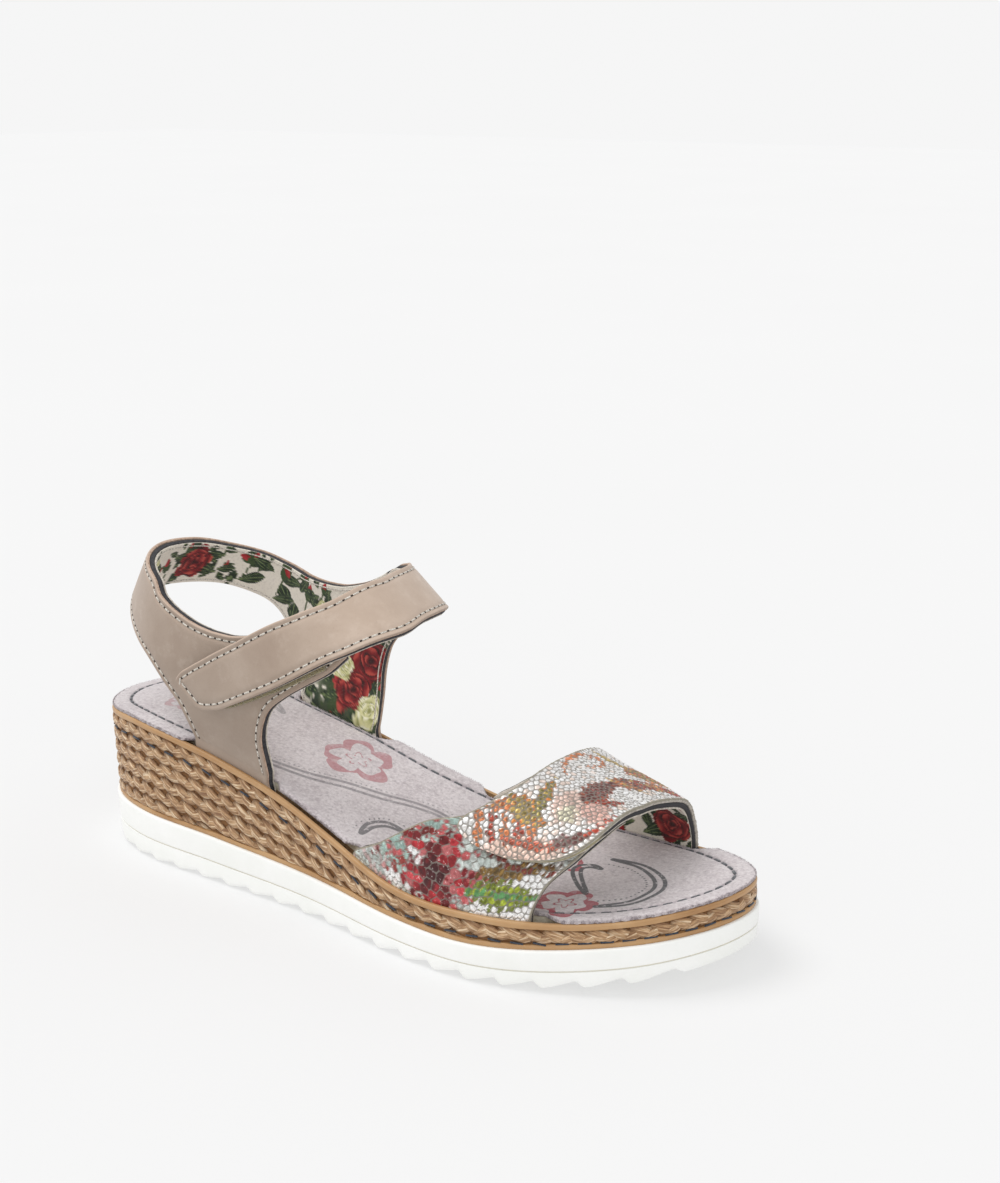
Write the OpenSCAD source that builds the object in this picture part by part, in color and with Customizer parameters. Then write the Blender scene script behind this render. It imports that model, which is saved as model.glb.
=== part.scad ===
// Right-foot wedge sandal: moulded outsole, braid-trimmed wedge, padded insole,
// open-heel quarter with an ankle strap, and a two-piece vamp. Millimetres.
// +X points to the toe, +Y to the medial side, +Z up. The origin lies on the
// ground under the middle of the waist.

/* [Sole] */
// Length of the insole from heel to toe
insole_length = 243; // [236:1:250]
// Thickness of the white outsole under the heel
outsole_heel_t = 16; // [14:0.5:18]
// Height that the toe of the outsole springs off the ground
toe_spring = 9; // [6:0.5:10]
// Height of the outsole's edge lugs
lug_depth = 2.2; // [1:0.1:3]
// Distance from one edge lug to the next
lug_pitch = 11.5; // [9:0.5:16]
// Height of the plain rim above the top braid
rim_height = 2.6; // [2:0.1:3]
// Height of one braid row
braid_height = 4.8; // [4:0.1:5.2]
// Height of the plain band under the braids
band_height = 1.8; // [1.2:0.1:2.2]

/* [Insole] */
// Thickness of the suede sock
sock_t = 1.4; // [1:0.1:2]
// Thickness of the stiff insole board
board_t = 1.5; // [1:0.1:2]
// Distance of the sock's stitch line from its edge
sock_stitch_inset = 6.5; // [6:0.5:9]

/* [Upper] */
// Thickness of the outer leather
leather_t = 1.3; // [1:0.1:1.5]
// Thickness of the foam padding in the upper
foam_t = 1.6; // [1:0.1:1.8]
// Thickness of the textile lining
lining_t = 0.6; // [0.4:0.1:0.8]
// Thickness of the hook tape and of the loop tape
tape_t = 1.1; // [0.8:0.1:1.3]
// Steps between two stations along a strap
strap_steps = 3; // [2:1:4]

/* [Hidden] */

gap = 0.05;                 // air between two layers that are glued or sewn
origin_x = 122;             // distance of the origin from the back of the heel
edge_wall = 1.5;            // thickness of the rim wall around the insole pocket
pocket_depth = 4.2;         // depth of the insole pocket below the rim
braid_recess = 1.4;         // depth of the recess that holds the braids
upper_t = leather_t + foam_t + lining_t + 2 * gap;
slip = 0.15;                // room beside an upper where it enters the sole
// Inset of the insole parts where an upper goes down between them and the rim wall
slot_inner = edge_wall + upper_t + 4 * slip;
outline_steps = 5;          // steps between two outline points
stretch = insole_length / 243;

// ---------------------------------------------------------------- curve helpers
function clamp(v, lo, hi) = min(max(v, lo), hi);
function mix(a, b, t) = a + (b - a) * t;
function unit(v) = v / norm(v);

// Catmull-Rom curve between b and c, with neighbours a and d
function spline(a, b, c, d, t) =
    0.5 * (2 * b + (c - a) * t + (2 * a - 5 * b + 4 * c - d) * t * t
           + (3 * b - a - 3 * c + d) * t * t * t);

// Smooth open curve through stations, each a number or a vector
function through(stations, steps) =
    let (last = len(stations) - 1)
    [for (i = [0:last - 1], k = [0:steps - (i == last - 1 ? 0 : 1)])
        spline(stations[max(i - 1, 0)], stations[i], stations[i + 1],
               stations[min(i + 2, last)], k / steps)];

// Value at x on a smooth curve through [x, value] stations in rising x
function at(table, x) =
    let (last = len(table) - 1,
         xc = clamp(x, table[0][0], table[last][0]),
         i = min(len([for (p = table) if (p[0] <= xc) 1]), last) - 1,
         b = table[i], c = table[i + 1],
         a = i == 0 ? 2 * b - c : table[i - 1],
         d = i + 2 > last ? 2 * c - b : table[i + 2],
         w = c[0] - b[0], t = (xc - b[0]) / w,
         mb = (c[1] - a[1]) / (c[0] - a[0]) * w, mc = (d[1] - b[1]) / (d[0] - b[0]) * w)
    b[1] * (2 * t * t * t - 3 * t * t + 1) + mb * (t * t * t - 2 * t * t + t)
    + c[1] * (3 * t * t - 2 * t * t * t) + mc * (t * t * t - t * t);

// ---------------------------------------------------------------- sole outline
// Insole edge from the back of the heel: lateral side, toe, medial side
edge_points = [[0, 0], [11, -20], [35, -30], [70, -32], [110, -34], [150, -40.5], [180, -41],
               [207, -32.5], [229, -18], [241.5, 3], [239.5, 23], [216, 39], [180, 43.5],
               [150, 37.5], [110, 30.5], [70, 28.5], [35, 30.5], [9, 22]];
edge_count = len(edge_points);
outline = [for (i = [0:edge_count - 1], k = [0:outline_steps - 1])
    let (p = spline(edge_points[(i + edge_count - 1) % edge_count], edge_points[i],
                    edge_points[(i + 1) % edge_count], edge_points[(i + 2) % edge_count],
                    k / outline_steps))
    [p[0] * stretch, p[1]]];
outline_count = len(outline);

// Outline moved inwards by distance d
function inset(d) = [for (i = [0:outline_count - 1])
    let (t = unit(outline[(i + 1) % outline_count]
                  - outline[(i + outline_count - 1) % outline_count]))
    outline[i] + d * [-t[1], t[0]]];

// Half width of the insole at x: side is -1 for lateral and 1 for medial
function edge_y(x, side) = max([for (i = [0:outline_count - 1])
    let (p = outline[i], q = outline[(i + 1) % outline_count], w = q[0] - p[0])
    if (side * (p[1] + q[1]) > 0 && (p[0] - x) * (q[0] - x) <= 0 && w != 0)
        side * mix(p[1], q[1], (x - p[0]) / w)]);
width_step = 4;
lateral_width = [for (x = [4:width_step:236]) [x, edge_y(x * stretch, -1)]];
medial_width = [for (x = [4:width_step:236]) [x, edge_y(x * stretch, 1)]];
function half_width(x, side) = at(side < 0 ? lateral_width : medial_width, x);

// ---------------------------------------------------------------- sole heights
rim_line = [[0, 45], [30, 48], [60, 45], [90, 39], [120, 29.5], [150, 21.5], [180, 20.8],
            [210, 22], [244, 27]];
joint_line = [[0, 0.5], [60, -0.5], [120, -3], [180, -4.5], [244, 2.5]];
groove_share = 0.45;        // height of the outsole's parting groove, as a share of its side
spring_start = 175;         // where the toe starts to lift off the ground
spring_run = 72;
heel_lean = 0.09;           // how far the walls lean in for each millimetre down, at the heel
heel_lean_reach = 60;
function rim_z(x) = at(rim_line, x);
function ground_z(x) = toe_spring * pow(max(x - spring_start, 0) / spring_run, 2);
function joint_z(x) = outsole_heel_t + at(joint_line, x);
function band_z(x) = joint_z(x) + band_height;
function braid_top(x, row) = rim_z(x) - rim_height - row * braid_height;
function floor_z(x) = rim_z(x) - pocket_depth;
// The walls lean in towards the ground at the heel
function lean(x, drop) = heel_lean * drop * pow(max(1 - x / heel_lean_reach, 0), 2);

// Outline point p at height z, on the leaning wall
function leaned(p, z) = [p[0] + lean(p[0], rim_z(p[0]) - z), p[1], z];

// Ring of points at inset d whose height is given by kind
function ring_height(kind, x) =
    kind == "ground" ? ground_z(x) : kind == "groove" ? mix(ground_z(x), joint_z(x), groove_share)
    : kind == "joint" ? joint_z(x) : kind == "band" ? band_z(x)
    : kind == "braid" ? braid_top(x, 0) : kind == "stitch" ? max(braid_top(x, 1), band_z(x) + 0.6)
    : kind == "rim" ? rim_z(x) : floor_z(x);
function ring(d, kind, lift = 0) = [for (p = inset(d)) leaned(p, ring_height(kind, p[0]) + lift)];

// ---------------------------------------------------------------- solid builders
// Closed solid through a stack of rings, capped by strips from side to side
module ring_stack(rings) {
    n = outline_count;
    top = (len(rings) - 1) * n;
    sides = [for (r = [0:len(rings) - 2], i = [0:n - 1])
        let (a = r * n + i, b = r * n + (i + 1) % n)
        each [[a, b, b + n], [a, b + n, a + n]]];
    caps = [for (i = [0:n / 2 - 1])
        let (a = i, b = i + 1, c = (n - i - 1) % n, d = (n - i) % n)
        each concat(c == b ? [] : [[a, c, b], [top + a, top + b, top + c]],
                    a == d ? [] : [[a, d, c], [top + a, top + c, top + d]])];
    polyhedron(points = [for (r = rings) each r],
               faces = [for (f = concat(sides, caps)) [f[2], f[1], f[0]]]);
}

// Closed solid between two equal grids of points, outer and inner. Seen from
// outside, each row's points turn clockwise from the row before
module sheet(outer, inner) {
    rows = len(outer);
    cols = len(outer[0]);
    half = rows * cols;
    skin = [for (r = [0:rows - 2], c = [0:cols - 2])
        let (a = r * cols + c, b = a + 1, d = a + cols, e = d + 1)
        each [[a, b, e], [a, e, d], [half + a, half + e, half + b], [half + a, half + d, half + e]]];
    border = concat([for (c = [0:cols - 1]) c],
                    [for (r = [1:rows - 1]) r * cols + cols - 1],
                    [for (c = [cols - 2:-1:0]) (rows - 1) * cols + c],
                    [for (r = [rows - 2:-1:1]) r * cols]);
    rim = [for (i = [0:len(border) - 1])
        let (a = border[i], b = border[(i + 1) % len(border)])
        each [[a, half + a, half + b], [a, half + b, b]]];
    polyhedron(points = concat([for (r = outer) each r], [for (r = inner) each r]),
               faces = concat(skin, rim));
}

// Closed solid along a path of four-cornered sections, whose corners turn
// clockwise when seen against the path
module beam(sections, closed = false) {
    n = len(sections);
    runs = closed ? n : n - 1;
    skin = [for (i = [0:runs - 1], k = [0:3])
        let (a = i * 4 + k, b = i * 4 + (k + 1) % 4, j = ((i + 1) % n) * 4,
             c = j + (k + 1) % 4, d = j + k)
        each [[a, b, c], [a, c, d]]];
    last = (n - 1) * 4;
    ends = closed ? [] : [[0, 2, 1], [0, 3, 2], [last, last + 1, last + 2],
                          [last, last + 2, last + 3]];
    polyhedron(points = [for (s = sections) each s], faces = concat(skin, ends));
}

// ---------------------------------------------------------------- foot form
// The uppers lie on one smooth foot-shaped form. x runs along the foot; a point
// of a cross-section is set by its height or by its angle from the ridge.
ridge_line = [[60, 150], [90, 128], [118, 106], [150, 79], [179, 57.5], [209, 47.2], [243, 35]];
bulge_line = [[0, 1], [90, 1], [130, 0.2], [243, 0]];
heel_front_x = 55;          // where the heel curve meets the straight sides
heel_back_z = 86;           // height at which the heel band's back is heel_back_x
heel_back_x = 9.5;
heel_rake = 0.7;            // how far the heel band leans forwards as it rises
bulge_start = 3;            // height over the rim where the form starts to swell outwards
bulge_rise = 27;            // height in which it reaches its full width
function ridge_z(x) = at(ridge_line, x);
function roundness(side) = side < 0 ? 2.3 : 2.8;
// Full outward swell of the form over the insole's edge
function bulge(x, side) = (side < 0 ? 3.5 : 7) * at(bulge_line, x);
// Distance of the form from the centre plane, at full width and height z
function form_width(x, z, side) =
    half_width(x, side) - edge_wall - slip
    + bulge(x, side) * (1 - pow(1 - clamp((z - rim_z(x) - bulge_start) / bulge_rise, 0, 1), 2));
// Height fraction from the rim (0) to the ridge (1)
function rise(x, z) = clamp((z - rim_z(x)) / (ridge_z(x) - rim_z(x)), 0, 1);

// Point at x and angle a from the ridge: a is negative on the lateral side. Past
// 90 degrees the form runs straight down into the sole, one millimetre a degree
function form_at_angle(x, a) =
    let (side = a < 0 ? -1 : 1, p = roundness(side), t = min(abs(a), 90),
         z = mix(rim_z(x), ridge_z(x), pow(max(cos(t), 0), 2 / p)))
    [x, side * form_width(x, z, side) * pow(sin(t), 2 / p), z - max(abs(a) - 90, 0)];

// Point at height z and girth u from the back of the heel, negative on the
// lateral side. Beyond heel_front_x the girth equals x.
function form_at_height(u, z) =
    let (side = u < 0 ? -1 : 1, p = roundness(side), back = heel_back_x
             + heel_rake * (z - heel_back_z),
         turn = 90 * min(abs(u) / heel_front_x, 1),
         x = abs(u) < heel_front_x ? mix(heel_front_x, back, cos(turn)) : abs(u))
    [x, side * sin(turn) * form_width(x, z, side) * pow(1 - pow(rise(x, z), p), 1 / p), z];

// Outward normals, by small differences
function angle_normal(x, a) =
    let (h = 0.4)
    unit(cross(form_at_angle(x + h, a) - form_at_angle(x - h, a),
               form_at_angle(x, a + h) - form_at_angle(x, a - h)));
function height_normal(u, z) =
    let (h = 0.4)
    unit(cross(form_at_height(u, z + h) - form_at_height(u, z - h),
               form_at_height(u + h, z) - form_at_height(u - h, z)));

// Points at depth d under the form's surface
function sink_angle(q, d) = form_at_angle(q[0], q[1]) - angle_normal(q[0], q[1]) * d;
function sink_height(q, d) = form_at_height(q[0], q[1]) - height_normal(q[0], q[1]) * d;

// Depth of a layer's outer and inner face below the upper's outer face
leather_depth = [0, leather_t];
foam_depth = [leather_t + gap, leather_t + gap + foam_t];
lining_depth = [upper_t - lining_t, upper_t];

// ---------------------------------------------------------------- quarter
// Each row: girth and height on the lower edge, then on the upper edge, from the
// seam on the medial arm, round the heel, to the end of the lateral arm
quarter_stations = [
    [107, 84, 98, 98.5], [103, 79.5, 92, 95], [96.5, 73.5, 85, 91.5], [92.5, 68, 79, 89.5],
    [90.5, 60, 74.5, 88.4], [91, 50, 71.5, 88.1], [92, 40, 69, 88], [91.5, 35, 67.5, 88],
    [76, 38.7, 65, 88], [62, 41.1, 61, 88.3], [61, 44, 59.5, 88.5],
    [58, 51, 56.5, 89], [54, 60.5, 53.5, 90], [49.5, 70, 50, 91.3], [44.7, 76.3, 46, 92.7],
    [38, 80.5, 39, 95.3], [27.5, 84.5, 28, 98.5], [14, 86.2, 14, 102],
    [-2, 86.2, -2, 103.3], [-17, 85.6, -18, 102.7], [-25, 83.3, -28, 101.7],
    [-33, 80, -38, 100], [-40, 76.4, -43.5, 98], [-46.5, 71.8, -47, 94.6],
    [-52, 64.6, -50.5, 92.5], [-57.2, 55, -55, 90.2], [-60.5, 46, -59, 88.7],
    [-61.5, 41.1, -61, 88], [-76, 38.7, -65, 87], [-91.5, 34.8, -70, 86.2],
    [-92, 39, -72, 86.1], [-92, 45, -75, 86], [-91.5, 53, -79, 86], [-93, 60, -83.5, 86.7],
    [-96, 65.5, -88, 87.8], [-102, 70.5, -94, 90.5], [-108, 74.5, -101, 93.5],
    [-116, 79.7, -108, 96.5], [-121, 85, -113, 97.6]];
quarter_shares = [0, 0.11, 0.4, 0.7, 1];       // places of a row's points across the quarter
quarter_path = through(quarter_stations, 2);

function quarter_grid(depth) = [for (s = quarter_path) [for (t = quarter_shares)
    sink_height([mix(s[0], s[2], t), mix(s[1], s[3], t)], depth)]];

module quarter_layer(depths) {
    sheet(quarter_grid(depths[0]), quarter_grid(depths[1]));
}

// ---------------------------------------------------------------- straps
// Each row: x and angle on the rear edge, then on the front edge
ankle_strap_stations = [
    [98.6, 50.4, 107.8, 57.5], [105, 40, 116, 48], [111, 29, 124, 35], [117, 12, 130.5, 18],
    [119.3, -4, 133.5, -3], [118.6, -14, 133, -19], [113.8, -31, 125.5, -38],
    [105.7, -43.5, 115.5, -52], [96, -54, 104.5, -63.5], [86, -63, 93.5, -71.8],
    [75, -70.5, 83, -77.6], [67.5, -74.8, 76.5, -80]];
ankle_tip_stations = [[67.5, -74.8, 76.5, -80], [64, -76.6, 71, -81], [62, -78, 66.3, -80.2],
                      [61.5, -78.5, 62.8, -79.4]];
ankle_lift = [[-80, 1], [-35, 1], [25, 0], [60, 0]];

vamp_strap_stations = [
    [137, 89.9, 210.8, 89.9], [144, 87, 210.6, 86], [154, 80, 210.3, 79],
    [164, 71, 210.1, 70], [173.5, 58, 210.6, 58], [179, 44, 211.6, 44], [181.3, 30, 212.8, 30],
    [182.6, 15, 213.3, 15], [183.2, 0, 212.4, 0], [183.5, -16, 211.7, -16],
    [182.3, -30, 210.6, -32], [177.5, -44.5, 207.8, -46]];
vamp_tip_stations = [[177.5, -44.5, 207.8, -46], [173.8, -52.3, 203.5, -54.8],
                     [172.5, -57, 198, -59], [174.5, -60, 190.5, -61.5], [180, -61.6, 185.5, -61.8]];
vamp_lift = [[-70, 1], [-25, 1], [35, 0], [90, 0]];

vamp_panel_stations = [
    [183.5, -5, 209.8, -4], [183, -18, 209.6, -17], [181.5, -32, 209, -30],
    [177, -44, 207.6, -42], [170, -54.5, 205.7, -53], [161, -64, 203, -62.5],
    [152.5, -73.5, 200.5, -71], [144, -81.5, 198.5, -80], [137.5, -86, 197.3, -85.9],
    [131, -89.9, 196.8, -89.9], [131, -93.9, 196.8, -93.9]];

// Extra height of a strap where it laps over another piece and its tapes
tape_air = 0.15;            // air under the loop tape, which bends with its own steps
lap_height = upper_t + 2 * tape_t + tape_air + 2 * gap;

function strap_grid(path, rows, depth, lift_table) = [for (s = path) [for (r = [0:rows])
    let (t = r / rows, q = [mix(s[0], s[2], t), mix(s[1], s[3], t)])
    sink_angle(q, depth - lap_height * (len(lift_table) == 0 ? 0 : at(lift_table, q[1])))]];

module strap_layer(path, rows, depths, lift_table = []) {
    sheet(strap_grid(path, rows, depths[0], lift_table),
          strap_grid(path, rows, depths[1], lift_table));
}

// Part of a strap path, from share a to share b of its length and margins from
// its rear and front edges
function trim(path, a, b, rear, front) = [for (i = [round(a * (len(path) - 1)):
                                                    round(b * (len(path) - 1))])
    let (s = path[i], p = [s[0], s[1]], q = [s[2], s[3]])
    [mix(p[0], q[0], rear), mix(p[1], q[1], rear), mix(q[0], p[0], front), mix(q[1], p[1], front)]];

ankle_strap_path = concat(through(ankle_strap_stations, strap_steps),
                          [for (i = [1:len(ankle_tip_stations) - 1]) ankle_tip_stations[i]]);
vamp_strap_path = concat(through(vamp_strap_stations, strap_steps),
                         [for (i = [1:len(vamp_tip_stations) - 1]) vamp_tip_stations[i]]);
vamp_panel_path = through(vamp_panel_stations, strap_steps);
strap_rows = 4;
vamp_rows = 6;

// Depths of the tapes: the loop tape lies on the lower piece, and the hook tape
// hangs under the strap
loop_depth = [-tape_t - tape_air, -tape_air];
hook_depth = [upper_t + gap, upper_t + gap + tape_t];

// ---------------------------------------------------------------- sole parts
module placed() { translate([-origin_x, 0, 0]) children(); }

module outsole() color([0.93, 0.93, 0.91]) placed() {
    rim = -0.9;             // the outsole stands out from the wedge
    lug_zone = 7;           // width of the edge that the lugs are cut in
    difference() {
        ring_stack([ring(rim + 0.5, "ground"), ring(rim + 0.3, "groove", -0.4),
                    ring(rim + 0.9, "groove"), ring(rim, "groove", 0.4),
                    ring(rim, "joint", -0.6), ring(rim + 0.6, "joint")]);
        difference() {
            for (x = [4:lug_pitch:insole_length - 12]) lug_notch(x);
            translate([0, 0, -5]) linear_extrude(60) polygon(inset(lug_zone));
        }
    }
}

// Sloping notch that leaves one edge lug behind it
module lug_notch(x) {
    run = lug_pitch * 0.8;
    low = ground_z(x) - 0.02;
    high = ground_z(x + run) + lug_depth;
    translate([0, 100, 0]) rotate([90, 0, 0]) linear_extrude(200)
        polygon([[x + run * 0.25, low - 12], [x + run * 0.25, low], [x + run * 0.5, mix(low, high, 0.45)],
                 [x + run * 0.8, mix(low, high, 0.9)], [x + run, high],
                 [x + run * 1.12, mix(low, high, 0.5)], [x + run * 1.2, low - 12]]);
}

module wedge_body() color([0.76, 0.58, 0.38]) placed() difference() {
    ring_stack([ring(0.1, "joint", gap), ring(0, "band", -0.3), ring(0.3, "band"),
                ring(braid_recess, "band"), ring(braid_recess, "braid"),
                ring(0.3, "braid"), ring(0, "braid", 0.4), ring(0, "rim", -0.5),
                ring(0.4, "rim"), ring(edge_wall, "rim"), ring(edge_wall, "floor")]);
    shank_bar(shank_width + 0.4, 0.2);
}

// One braid row, seated in the recess, between two girth positions of the outline
function braid_sections(row, first, last) =
    let (inner = inset(braid_recess - 2 * gap), outer = inset(0.05))
    [for (k = [first:last])
        let (i = (k + outline_count) % outline_count, p = inner[i], q = outer[i],
             top = braid_top(p[0], row) - gap,
             low = max(braid_top(p[0], row + 1) + gap, band_z(p[0]) + gap))
        [leaned(p, low), leaned(q, min(low + 0.5, top - 0.6)), leaned(q, top - 0.5), leaned(p, top)]];

module top_braid() color([0.62, 0.46, 0.32]) placed()
    beam(braid_sections(0, 0, outline_count - 1), closed = true);

module wall_braids() color([0.58, 0.42, 0.28]) placed() {
    min_height = 1.4;
    for (row = [1:4]) {
        inner = inset(braid_recess);
        fits = [for (p = inner) braid_top(p[0], row) - band_z(p[0]) > min_height];
        last = max([for (k = [0:outline_count / 2]) if (fits[k]) k]);
        first = max([for (k = [0:outline_count / 2]) if (fits[(outline_count - k) % outline_count]) k]);
        beam(braid_sections(row, -first, last));
    }
}

// Straight dashes of thread that follow an inset of the outline
module dashes(d, length, pitch, thick, proud, kind, lift) {
    path = ring(d, kind, lift);
    steps = [for (i = [0:outline_count - 1]) norm(path[(i + 1) % outline_count] - path[i])];
    function walked(i) = i == 0 ? 0 : walked(i - 1) + steps[i - 1];
    reach = [for (i = [0:outline_count]) walked(i)];
    count = floor(reach[outline_count] / pitch);
    for (k = [0:count - 1]) {
        s = (k + 0.5) * reach[outline_count] / count;
        i = len([for (v = reach) if (v <= s) 1]) - 1;
        p = path[i % outline_count];
        q = path[(i + 1) % outline_count];
        dir = unit(q - p);
        translate(p + dir * (s - reach[i]))
            rotate([0, -asin(dir[2]), atan2(dir[1], dir[0])])
            translate([-length / 2, proud[0], proud[1]]) cube([length, thick[0], thick[1]]);
    }
}

module wall_stitches() color([0.2, 0.22, 0.28]) placed()
    dashes(-0.2, 4.6, 9.5, [0.6, 0.8], [-0.6, -0.4], "stitch", 0);

shank_width = 12;
shank_ends = [30, 150];
shank_steps = 12;
shank_t = 1.3;
shank_air = 0.25;           // depth of the shank's top below the board
function shank_section(x, width, extra) =
    let (top = floor_z(x) - shank_air + 2 * extra, low = floor_z(x) - shank_air - shank_t - extra)
    [[x, -width / 2, low], [x, -width / 2, top], [x, width / 2, top], [x, width / 2, low]];
module shank_bar(width, extra)
    beam([for (k = [0:shank_steps])
        shank_section(mix(shank_ends[0] - extra, shank_ends[1] + extra, k / shank_steps), width, extra)]);
module shank() color([0.7, 0.7, 0.72]) placed() shank_bar(shank_width, 0);

board_air = 0.15;           // air under the insole board
module insole_board() color([0.6, 0.5, 0.38]) placed()
    ring_stack([ring(slot_inner, "floor", board_air), ring(slot_inner, "floor", board_air + board_t)]);

module footbed_foam() color([0.9, 0.88, 0.8]) placed()
    ring_stack([ring(slot_inner, "floor", board_air + board_t + gap), ring(slot_inner, "rim", -0.1)]);

// Where the uppers pass the sock: from x, to x, side
upper_cuts = [[59, 94, -1], [59, 94, 1], [128, 201, -1], [134.5, 213, 1]];
module insole_sock() color([0.76, 0.7, 0.72]) placed() difference() {
    ring_stack([ring(0.7, "rim", 2 * gap), ring(0.5, "rim", sock_t * 0.6),
                ring(1.1, "rim", 2 * gap + sock_t)]);
    for (cut = upper_cuts) upper_slot(cut[0], cut[1], cut[2]);
}

// Room at the insole's edge where an upper passes down into the sole
module upper_slot(x0, x1, side) difference() {
    translate([x0, side < 0 ? -60 : 0, 10]) cube([x1 - x0, 60, 50]);
    translate([0, 0, 5]) linear_extrude(60) polygon(inset(slot_inner));
}

module sock_stitches() color([0.35, 0.35, 0.38]) placed()
    dashes(sock_stitch_inset, 4.8, 7, [0.6, 0.35], [-0.3, 0.1], "rim", 2 * gap + sock_t);

// ---------------------------------------------------------------- upper parts
module quarter_leather() color([0.72, 0.65, 0.58]) placed() quarter_layer(leather_depth);
module quarter_foam() color([0.2, 0.2, 0.22]) placed() quarter_layer(foam_depth);
module quarter_lining() color([0.88, 0.84, 0.8]) placed() quarter_layer(lining_depth);

module ankle_loop_tape() color([0.5, 0.47, 0.36]) placed() {
    tape = trim(ankle_strap_path, 0.55, 0.93, 0.2, 0.06);
    strap_layer(tape, strap_rows, loop_depth);
}

module ankle_strap_leather() color([0.74, 0.67, 0.6]) placed()
    strap_layer(ankle_strap_path, strap_rows, leather_depth, ankle_lift);
module ankle_strap_foam() color([0.2, 0.2, 0.22]) placed()
    strap_layer(ankle_strap_path, strap_rows, foam_depth, ankle_lift);
module ankle_strap_lining() color([0.88, 0.84, 0.8]) placed()
    strap_layer(ankle_strap_path, strap_rows, lining_depth, ankle_lift);
module ankle_hook_tape() color([0.45, 0.42, 0.32]) placed() {
    tape = trim(ankle_strap_path, 0.66, 0.93, 0.16, 0.16);
    strap_layer(tape, strap_rows, hook_depth, ankle_lift);
}

module vamp_panel_leather() color([0.66, 0.5, 0.46]) placed()
    strap_layer(vamp_panel_path, vamp_rows, leather_depth);
module vamp_panel_foam() color([0.2, 0.2, 0.22]) placed()
    strap_layer(vamp_panel_path, vamp_rows, foam_depth);
module vamp_panel_lining() color([0.88, 0.84, 0.8]) placed()
    strap_layer(vamp_panel_path, vamp_rows, lining_depth);
module vamp_loop_tape() color([0.5, 0.47, 0.36]) placed() {
    tape = trim(vamp_strap_path, 0.78, 0.96, 0.12, 0.06);
    strap_layer(tape, vamp_rows, loop_depth);
}

module vamp_strap_leather() color([0.74, 0.6, 0.52]) placed()
    strap_layer(vamp_strap_path, vamp_rows, leather_depth, vamp_lift);
module vamp_strap_foam() color([0.2, 0.2, 0.22]) placed()
    strap_layer(vamp_strap_path, vamp_rows, foam_depth, vamp_lift);
module vamp_strap_lining() color([0.88, 0.84, 0.8]) placed()
    strap_layer(vamp_strap_path, vamp_rows, lining_depth, vamp_lift);
module vamp_hook_tape() color([0.45, 0.42, 0.32]) placed() {
    tape = trim(vamp_strap_path, 0.82, 0.95, 0.14, 0.14);
    strap_layer(tape, vamp_rows, hook_depth, vamp_lift);
}

// The strap's lower end, cemented between the rim and the insole board
margin_ends = [137, 210.8];
margin_steps = 12;
function margin_section(x) =
    let (low = floor_z(x) + 0.3, top = rim_z(x) + 0.1,
         outer = half_width(x, 1) - edge_wall - slip, inner = outer - upper_t)
    [[x, inner, low], [x, inner, top], [x, outer, top], [x, outer, low]];
module vamp_strap_margin() color([0.4, 0.36, 0.34]) placed()
    beam([for (k = [0:margin_steps]) margin_section(mix(margin_ends[0], margin_ends[1], k / margin_steps))]);

outsole();
wedge_body();
top_braid();
wall_braids();
wall_stitches();
shank();
insole_board();
footbed_foam();
insole_sock();
sock_stitches();
quarter_leather();
quarter_foam();
quarter_lining();
ankle_loop_tape();
ankle_strap_leather();
ankle_strap_foam();
ankle_strap_lining();
ankle_hook_tape();
vamp_panel_leather();
vamp_panel_foam();
vamp_panel_lining();
vamp_loop_tape();
vamp_strap_margin();
vamp_strap_leather();
vamp_strap_foam();
vamp_strap_lining();
vamp_hook_tape();
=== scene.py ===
import math

import bpy
import numpy as np
from mathutils import Matrix, Vector


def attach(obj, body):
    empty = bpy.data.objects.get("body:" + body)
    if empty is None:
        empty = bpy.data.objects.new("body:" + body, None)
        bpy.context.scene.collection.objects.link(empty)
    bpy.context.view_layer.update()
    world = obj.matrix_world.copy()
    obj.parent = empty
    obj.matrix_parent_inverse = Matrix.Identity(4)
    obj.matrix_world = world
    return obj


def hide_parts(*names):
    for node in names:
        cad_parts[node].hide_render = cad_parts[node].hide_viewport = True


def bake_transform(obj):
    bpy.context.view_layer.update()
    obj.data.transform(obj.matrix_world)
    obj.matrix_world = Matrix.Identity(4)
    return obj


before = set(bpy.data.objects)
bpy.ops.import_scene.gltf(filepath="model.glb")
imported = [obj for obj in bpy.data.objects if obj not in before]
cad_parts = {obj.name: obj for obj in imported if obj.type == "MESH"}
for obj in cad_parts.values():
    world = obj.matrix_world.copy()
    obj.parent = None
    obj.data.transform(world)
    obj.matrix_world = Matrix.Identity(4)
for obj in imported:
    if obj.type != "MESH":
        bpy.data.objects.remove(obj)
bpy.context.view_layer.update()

# Sizes and shapes here are in millimetres, with x counted from the back of the heel
# towards the toe. build() moves them into the row frame, in metres.
ROOT, ANKLE, VAMP = "sole_and_upper", "ankle_strap", "vamp_strap"
ORIGIN_X = 122.0
rng = np.random.default_rng(11)


# ---------------------------------------------------------------- curves
def mix(a, b, t):
    return a + (b - a) * t


def smooth(a, b, x):
    t = np.clip((np.asarray(x, float) - a) / (b - a), 0, 1)
    return t * t * (3 - 2 * t)


def unit(v):
    return v / np.maximum(np.linalg.norm(v, axis=-1, keepdims=True), 1e-12)


def spline(a, b, c, d, t):
    return 0.5 * (2 * b + (c - a) * t + (2 * a - 5 * b + 4 * c - d) * t * t
                  + (3 * b - a - 3 * c + d) * t ** 3)


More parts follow.
